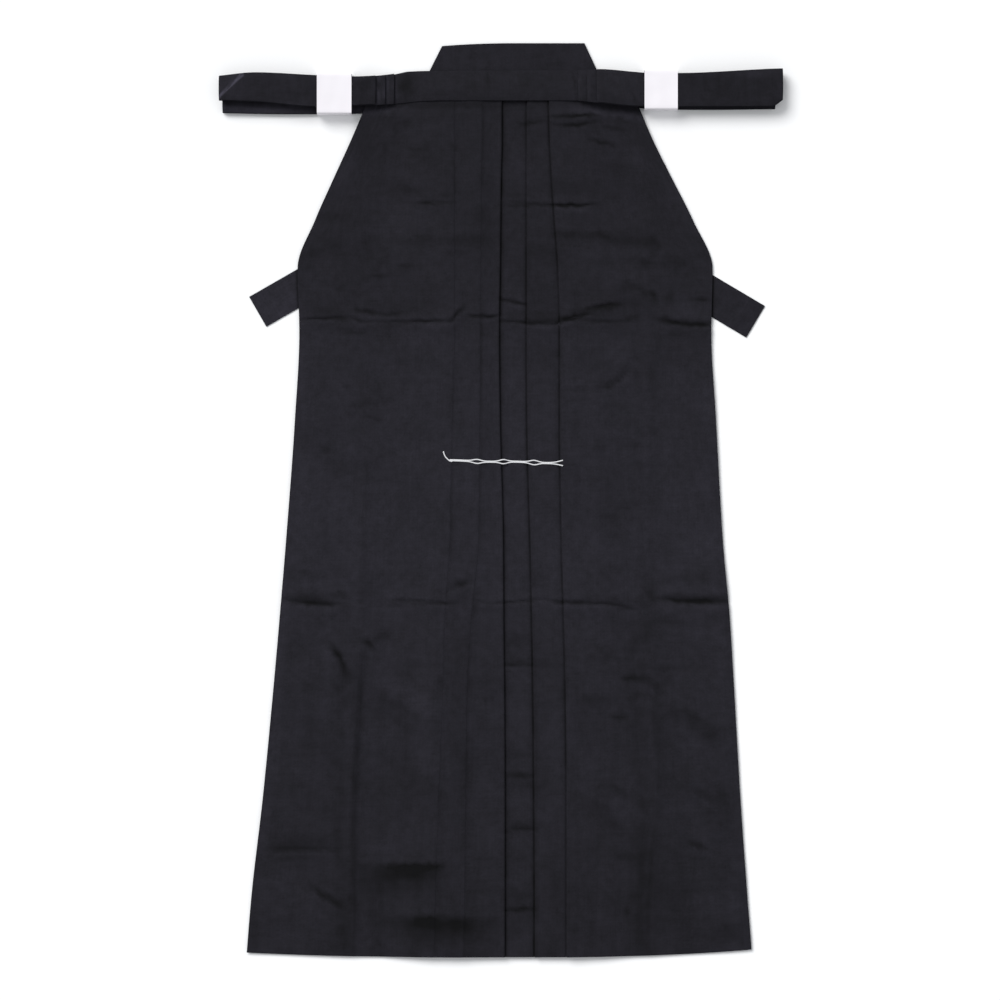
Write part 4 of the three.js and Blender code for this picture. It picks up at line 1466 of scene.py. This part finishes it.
def thread_finish(colour):
    """Pale cotton thread with its twist."""
    finish = Finish("basting_cotton")
    place = finish.node("ShaderNodeTexCoord", {}, {}).outputs["Object"]
    split = finish.node("ShaderNodeSeparateXYZ", {}, {0: place})
    twist = ((Value(finish, split.outputs[0]) + Value(finish, split.outputs[1])) * 5200.0).sine()
    fuzz = finish.noise(place, 1500.0)
    light = [min(c * 1.4, 1) for c in colour]
    share = (0.5 + twist * 0.2 + (fuzz - 0.5)).limited()
    finish.set(Base_Color=finish.mixed(share, colour, light), Roughness=0.9)
    finish.bump(twist * 0.5 + fuzz, 0.0001, 0.6)
    return finish.material


def floor_finish():
    """A plain pale floor."""
    finish = Finish("pale_floor")
    place = finish.node("ShaderNodeTexCoord", {}, {}).outputs["Object"]
    cloud = finish.noise(place, 3.0)
    finish.set(
        Base_Color=finish.mixed(cloud, (0.90, 0.90, 0.90), (0.93, 0.93, 0.93)),
        Roughness=0.9,
        Specular_IOR_Level=0.2,
    )
    return finish.material


def settings(context):
    return context.scene.hakama_sizes, context.scene.hakama_colours


def cloth_material(context, name, shade=1.0):
    """The black cloth under a name of its own, made once, darkened by shade as painted shade."""
    sizes, colours = settings(context)
    made = bpy.data.materials.get(name)
    return made or cloth_finish(name, colours.cloth, sizes.weave, shade)


def finish_piece(obj, material, slot, *nodes):
    """Dresses a piece, sets it on the frame, and lets it stand for its nodes."""
    obj.data.materials.clear()
    obj.data.materials.append(material)
    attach(obj, BODY)
    if nodes:
        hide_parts(*nodes)
    return obj


# Operators.


class HAKAMA_OT_fronts(bpy.types.Operator):
    """Make the two pleated fronts"""

    bl_idname = "hakama.fronts"
    bl_label = "Pleated fronts"

    def execute(self, context):
        sizes, _ = settings(context)
        for side, section in (("right", right_front), ("left", left_front)):
            obj, flat, area = make_panel(f"front_panel_{side}", section, 1.0, False, sizes)
            finish_piece(obj, cloth_material(context, "black_weave"), "panel_cloth", f"front_leg_{side}")
        return {"FINISHED"}


class HAKAMA_OT_backs(bpy.types.Operator):
    """Make the two backs, each with its one pleat"""

    bl_idname = "hakama.backs"
    bl_label = "Backs"

    def execute(self, context):
        sizes, _ = settings(context)
        for side, sign in (("right", -1), ("left", 1)):
            section = partial(back_section, sign=sign)
            obj, flat, area = make_panel(f"back_panel_{side}", section, BACK_SHARE, sign < 0, sizes)
            finish_piece(obj, cloth_material(context, "black_weave"), "panel_cloth", f"back_leg_{side}")
        return {"FINISHED"}


class HAKAMA_OT_ties(bpy.types.Operator):
    """Make the front tie and the two back ties, folded into their bundles"""

    bl_idname = "hakama.ties"
    bl_label = "Ties"

    def execute(self, context):
        # A slightly darker copy of the cloth, as painted shade.
        material = cloth_material(context, "black_weave_of_ties", 0.96)
        obj, flat = make_front_tie()
        finish_piece(obj, material, "tie_cloth", "front_tie")
        for side in ("right", "left"):
            obj, flat = make_back_tie(side)
            finish_piece(obj, material, "tie_cloth", f"back_tie_{side}")
        return {"FINISHED"}


class HAKAMA_OT_board(bpy.types.Operator):
    """Make the back board, a stiff trapezium covered in cloth"""

    bl_idname = "hakama.board"
    bl_label = "Back board"

    def execute(self, context):
        size = (2 * BOARD["bottom"] * MM, BOARD["height"] * MM, BOARD["thick"] * MM)
        bpy.ops.object.select_all(action="DESELECT")
        bpy.ops.mesh.primitive_cube_add(size=1, location=(0, 0, 0))
        obj = context.active_object
        obj.name = "board_cover"
        obj.scale = size
        obj.location = (MIDDLE_X * MM, (SEAM_Y + BOARD_GAP) * MM + size[1] / 2, size[2] / 2)
        bpy.ops.object.transform_apply(location=True, rotation=True, scale=True)
        self.taper(obj)
        self.subdivide(obj)
        ease = obj.modifiers.new("eased", "BEVEL")
        ease.width = BOARD_ROUND * MM
        ease.segments = 3
        ease.limit_method = "ANGLE"
        bpy.ops.object.modifier_apply(modifier=ease.name)
        bpy.ops.object.shade_smooth_by_angle(angle=math.radians(40))
        self.lay_weave(obj)
        # A slightly darker copy of the cloth, as painted shade.
        material = cloth_material(context, "black_weave_of_board", 0.98)
        finish_piece(obj, material, "board_cloth", "back_board")
        return {"FINISHED"}

    def taper(self, obj):
        """Draws the top edge in to its own width."""
        bpy.ops.object.mode_set(mode="EDIT")
        mesh = bmesh.from_edit_mesh(obj.data)
        middle = (SEAM_Y + BOARD["height"] / 2) * MM
        for vertex in mesh.verts:
            vertex.select_set(vertex.co.y > middle)
        mesh.select_flush_mode()
        bmesh.update_edit_mesh(obj.data)
        bpy.ops.transform.resize(value=(BOARD["top"] / BOARD["bottom"], 1, 1))
        bpy.ops.object.mode_set(mode="OBJECT")

    def subdivide(self, obj):
        """Cuts the faces finer, then crowns the top edge and lets the cloth over it lie unevenly."""
        bpy.ops.object.mode_set(mode="EDIT")
        bpy.ops.mesh.select_all(action="SELECT")
        bpy.ops.mesh.subdivide(number_cuts=BOARD_CUTS)
        bpy.ops.object.mode_set(mode="OBJECT")
        low = SEAM_Y * MM
        for vertex in obj.data.vertices:
            up = (vertex.co.y - low) / (BOARD["height"] * MM)
            side = (vertex.co.x - MIDDLE_X * MM) / (BOARD["top"] * MM)
            drop = BOARD_CROWN["right"] if side < 0 else BOARD_CROWN["left"]
            vertex.co.y -= drop * MM * min(side**2, 1) * up**2
            if vertex.co.z > BOARD["thick"] * MM * 0.9:
                waves = swell(vertex.co.x / MM, vertex.co.y / MM, BOARD_WAVES["length"], BOARD_WAVES["seed"])
                vertex.co.z += BOARD_WAVES["height"] * MM * float(waves)

    def lay_weave(self, obj):
        layer = obj.data.uv_layers.active or obj.data.uv_layers.new()
        layer.name = "cloth"
        for loop in obj.data.loops:
            place = obj.data.vertices[loop.vertex_index].co
            layer.data[loop.index].uv = (place.x, place.y + place.z)
        places = np.array([v.co for v in obj.data.vertices]) / MM
        add_tone(obj, painted_shade_and_mottle_at(places[:, 0], places[:, 1]))


class HAKAMA_OT_tabs(bpy.types.Operator):
    """Make the short straps at the ends of the side slits"""

    bl_idname = "hakama.tabs"
    bl_label = "Slit straps"

    def execute(self, context):
        for side, (x, y, angle, length, width, lighter_by) in TABS.items():
            obj = self.strap(context, side, (x, y), angle, (length, width), lighter_by)
            material = cloth_material(context, "black_weave_of_straps")
            finish_piece(obj, material, "tab_cloth", f"slit_tab_{side}")
        return {"FINISHED"}

    def strap(self, context, side, end, angle, size, lighter_by):
        """A flat strap whose free end lies a little unevenly, with painted shade where it meets the panel's
        edge.
        """
        length, width = size
        bpy.ops.object.select_all(action="DESELECT")
        bpy.ops.mesh.primitive_plane_add(size=1, location=(-length * MM / 2, 0, 0))
        obj = context.active_object
        obj.name = f"slit_strap_{side}"
        obj.scale = (length * MM, width * MM, 1)
        bpy.ops.object.transform_apply(location=True, rotation=True, scale=True)
        bpy.ops.object.mode_set(mode="EDIT")
        bpy.ops.mesh.select_all(action="SELECT")
        bpy.ops.mesh.subdivide(number_cuts=TAB_CUTS)
        bpy.ops.object.mode_set(mode="OBJECT")
        layer = obj.data.uv_layers.active
        layer.name = "cloth"
        for loop in obj.data.loops:
            place = obj.data.vertices[loop.vertex_index].co
            layer.data[loop.index].uv = (place.x, place.y)
        for vertex in obj.data.vertices:
            flat_x, flat_y = vertex.co.x / MM, vertex.co.y / MM
            rise = TAB_RISE * (1 + float(swell(flat_x, flat_y, 24, 31 + len(side))))
            out = eased((flat_x + length * TAB_FREE) / TAB_EASE)
            vertex.co.z = (TAB_THICK / 2 + TAB_CLEAR + rise * float(out)) * MM
        obj.rotation_euler.z = math.radians(angle)
        obj.location = (end[0] * MM, end[1] * MM, 0)
        bpy.ops.object.transform_apply(location=True, rotation=True, scale=True)
        at = np.array([v.co for v in obj.data.vertices]) / MM
        panel_edge = column(ROWS, ROW_COLUMNS, side, at[:, 1])
        past_edge = np.maximum(np.abs(at[:, 0]) - np.abs(panel_edge), 0)
        contact = np.exp(-((past_edge / TAB_SHADE["reach"]) ** 2))
        add_tone(obj, lighter_by + painted_shade_and_mottle_at(at[:, 0], at[:, 1]) - TAB_SHADE["dark"] * contact)
        return thicken(obj, TAB_THICK, 0.3)


class HAKAMA_OT_paper(bpy.types.Operator):
    """Make the paper bands round the folded ties"""

    bl_idname = "hakama.paper"
    bl_label = "Paper bands"

    def execute(self, context):
        _, colours = settings(context)
        material = paper_finish(colours.paper)
        for side, (start, end, low, high) in PAPER_BANDS.items():
            obj = self.band(context, side, start, end, low, high)
            finish_piece(obj, material, "paper", f"paper_band_{side}")
        return {"FINISHED"}

    def band(self, context, side, start, end, low, high):
        """A box with its ends taken off, its long edges rounded and its wall added inwards."""
        bpy.ops.object.select_all(action="DESELECT")
        bpy.ops.mesh.primitive_cube_add(size=1, location=(0, 0, 0))
        obj = context.active_object
        obj.name = f"paper_wrap_{side}"
        obj.scale = ((end - start) * MM, (high - low) * MM, PAPER_TOP * MM)
        obj.location = ((start + end) / 2 * MM, (low + high) / 2 * MM, PAPER_TOP / 2 * MM)
        bpy.ops.object.transform_apply(location=True, rotation=True, scale=True)
        bpy.ops.object.mode_set(mode="EDIT")
        mesh = bmesh.from_edit_mesh(obj.data)
        bpy.ops.mesh.select_all(action="DESELECT")
        for face in mesh.faces:
            face.select_set(abs(face.normal.x) > 0.9)
        bmesh.update_edit_mesh(obj.data)
        bpy.ops.mesh.delete(type="ONLY_FACE")
        mesh = bmesh.from_edit_mesh(obj.data)
        for edge in mesh.edges:
            span = edge.verts[0].co - edge.verts[1].co
            edge.select_set(abs(span.x) > 0.5 * span.length)
        bmesh.update_edit_mesh(obj.data)
        bpy.ops.mesh.bevel(offset=PAPER_ROUND * MM, segments=4, affect="EDGES")
        bpy.ops.mesh.select_all(action="SELECT")
        bpy.ops.mesh.subdivide(number_cuts=PAPER_CUTS)
        bpy.ops.object.mode_set(mode="OBJECT")
        self.relax(obj, start, end)
        wall = obj.modifiers.new("wall", "SOLIDIFY")
        wall.thickness = PAPER_WALL * MM
        wall.offset = -1
        bpy.ops.object.modifier_apply(modifier=wall.name)
        bpy.ops.object.shade_smooth_by_angle(angle=math.radians(40))
        return obj

    def relax(self, obj, start, end):
        """Lets the paper's ends lift and its top lie a little unevenly."""
        middle = (start + end) / 2
        for vertex in obj.data.vertices:
            x, y = vertex.co.x / MM, vertex.co.y / MM
            if vertex.co.z > PAPER_TOP * MM * 0.6:
                away = abs(x - middle) / ((end - start) / 2)
                waves = PAPER_EASE["waves"] * float(swell(x, y, 22, 41))
                vertex.co.z += MM * (PAPER_EASE["end"] * away**4 + waves - PAPER_EASE["sink"])


class HAKAMA_OT_basting(bpy.types.Operator):
    """Make the pale thread that holds the pleats at the knee"""

    bl_idname = "hakama.basting"
    bl_label = "Basting thread"

    def execute(self, context):
        sizes, colours = settings(context)
        tops = self.surface_heights(context)
        strands = [self.strand(sign, tops) for sign in (1, -1)] + [self.tail(tops)]
        curve = bpy.data.curves.new("basting", "CURVE")
        curve.dimensions = "3D"
        curve.bevel_depth = sizes.thread / 2
        curve.bevel_resolution = 2
        for points in strands:
            spline = curve.splines.new("POLY")
            spline.points.add(len(points) - 1)
            for point, place in zip(spline.points, points):
                point.co = (*place, 1)
        curve.use_fill_caps = True
        obj = add_object("basting_thread", curve)
        only(obj)
        bpy.ops.object.convert(target="MESH")
        obj = context.active_object
        bpy.ops.object.shade_smooth_by_angle(angle=math.radians(60))
        finish_piece(obj, thread_finish(colours.basting), "panel_cloth")
        return {"FINISHED"}

    def surface_heights(self, context):
        """A function that gives the top of the fronts at a place, in metres."""
        depsgraph = context.evaluated_depsgraph_get()
        fronts = [
            bpy.data.objects[f"front_panel_{side}"].evaluated_get(depsgraph)
            for side in ("right", "left")
        ]

        def top(x, y):
            hits = [front.ray_cast(Vector((x, y, 0.1)), Vector((0, 0, -1))) for front in fronts]
            return max((hit[1].z for hit in hits if hit[0]), default=FRONT_MIDDLE_LEVEL * MM)

        return top

    def strand(self, sign, top):
        """One of the two strands, which lie side by side and part over the edges of the pleats."""
        points = []
        for x in np.linspace(THREAD_START, THREAD_END, THREAD_POINTS):
            gap = sum(wide * math.exp(-(((x - middle) / long) ** 2)) for middle, long, wide in THREAD_GAPS)
            line = THREAD_Y + THREAD_DROP * (x - THREAD_START)
            y = line + sign * (THREAD_BESIDE + gap) + 0.4 * math.sin(x / 11)
            high = max(top((x + near) * MM, y * MM) for near in THREAD_REACH)
            points.append((x * MM, y * MM, high + THREAD_LIFT * MM))
        return points

    def tail(self, top):
        """The short end where the two strands start."""
        return [(x * MM, y * MM, top(x * MM, y * MM) + 0.9 * MM) for x, y in THREAD_TAIL]


class HAKAMA_OT_stage(bpy.types.Operator):
    """Set out the pale floor, the soft lights and the camera straight above"""

    bl_idname = "hakama.stage"
    bl_label = "Stage"

    FRAME_WIDTH = 1.13
    LENS = 150.0
    SENSOR = 36.0
    KEY_PLACE = (-2, 2.4, 3.1)
    KEY_POWER = 2.65
    KEY_SPREAD = 34
    FLOOR = {"size": 12, "drop": 0.0003}
    ROOM_LIGHT = {"Color": (0.95, 0.97, 1.0, 1), "Strength": 0.58}

    def execute(self, context):
        bpy.ops.object.select_all(action="DESELECT")
        bpy.ops.mesh.primitive_plane_add(size=self.FLOOR["size"], location=(0, 0, -self.FLOOR["drop"]))
        floor = context.active_object
        floor.name = "floor"
        floor.data.materials.append(floor_finish())
        self.camera(context)
        self.key(context)
        world = bpy.data.worlds.new("soft_room")
        world.use_nodes = True
        for name, setting in self.ROOM_LIGHT.items():
            world.node_tree.nodes["Background"].inputs[name].default_value = setting
        context.scene.world = world
        context.scene.view_settings.view_transform = "Standard"
        return {"FINISHED"}

    def camera(self, context):
        distance = self.LENS / self.SENSOR * self.FRAME_WIDTH
        bpy.ops.object.camera_add(location=(0, 0, distance + 0.008), rotation=(0, 0, 0))
        camera = context.active_object
        camera.data.lens = self.LENS
        camera.data.sensor_width = self.SENSOR
        context.scene.camera = camera

    def key(self, context):
        """A broad even light from beyond the waist, to the right-hand tie's side."""
        bpy.ops.object.light_add(type="SUN", location=self.KEY_PLACE)
        light = context.active_object
        light.name = "key"
        light.data.energy = self.KEY_POWER
        light.data.angle = math.radians(self.KEY_SPREAD)
        light.rotation_euler = (-light.location).to_track_quat("-Z", "Y").to_euler()


class HAKAMA_PT_panel(bpy.types.Panel):
    """Lists the steps and the sizes and colours that they use"""

    bl_idname = "HAKAMA_PT_panel"
    bl_label = "Flat hakama"
    bl_space_type = "VIEW_3D"
    bl_region_type = "UI"
    bl_category = "Hakama"

    def draw(self, context):
        sizes, colours = settings(context)
        for group in (sizes, colours):
            for name in group.__annotations__:
                self.layout.prop(group, name)
        for step in STEPS:
            self.layout.operator(step.bl_idname)


STEPS = (
    HAKAMA_OT_stage,
    HAKAMA_OT_backs,
    HAKAMA_OT_fronts,
    HAKAMA_OT_board,
    HAKAMA_OT_ties,
    HAKAMA_OT_tabs,
    HAKAMA_OT_paper,
    HAKAMA_OT_basting,
)
CLASSES = (HakamaSizes, HakamaColours, *STEPS, HAKAMA_PT_panel)


def register():
    for made in CLASSES:
        bpy.utils.register_class(made)
    bpy.types.Scene.hakama_sizes = PointerProperty(type=HakamaSizes)
    bpy.types.Scene.hakama_colours = PointerProperty(type=HakamaColours)


def unregister():
    del bpy.types.Scene.hakama_colours
    del bpy.types.Scene.hakama_sizes
    for made in reversed(CLASSES):
        bpy.utils.unregister_class(made)


def main():
    register()
    for step in STEPS:
        family, name = step.bl_idname.split(".")
        getattr(getattr(bpy.ops, family), name)()


if __name__ == "__main__":
    main()
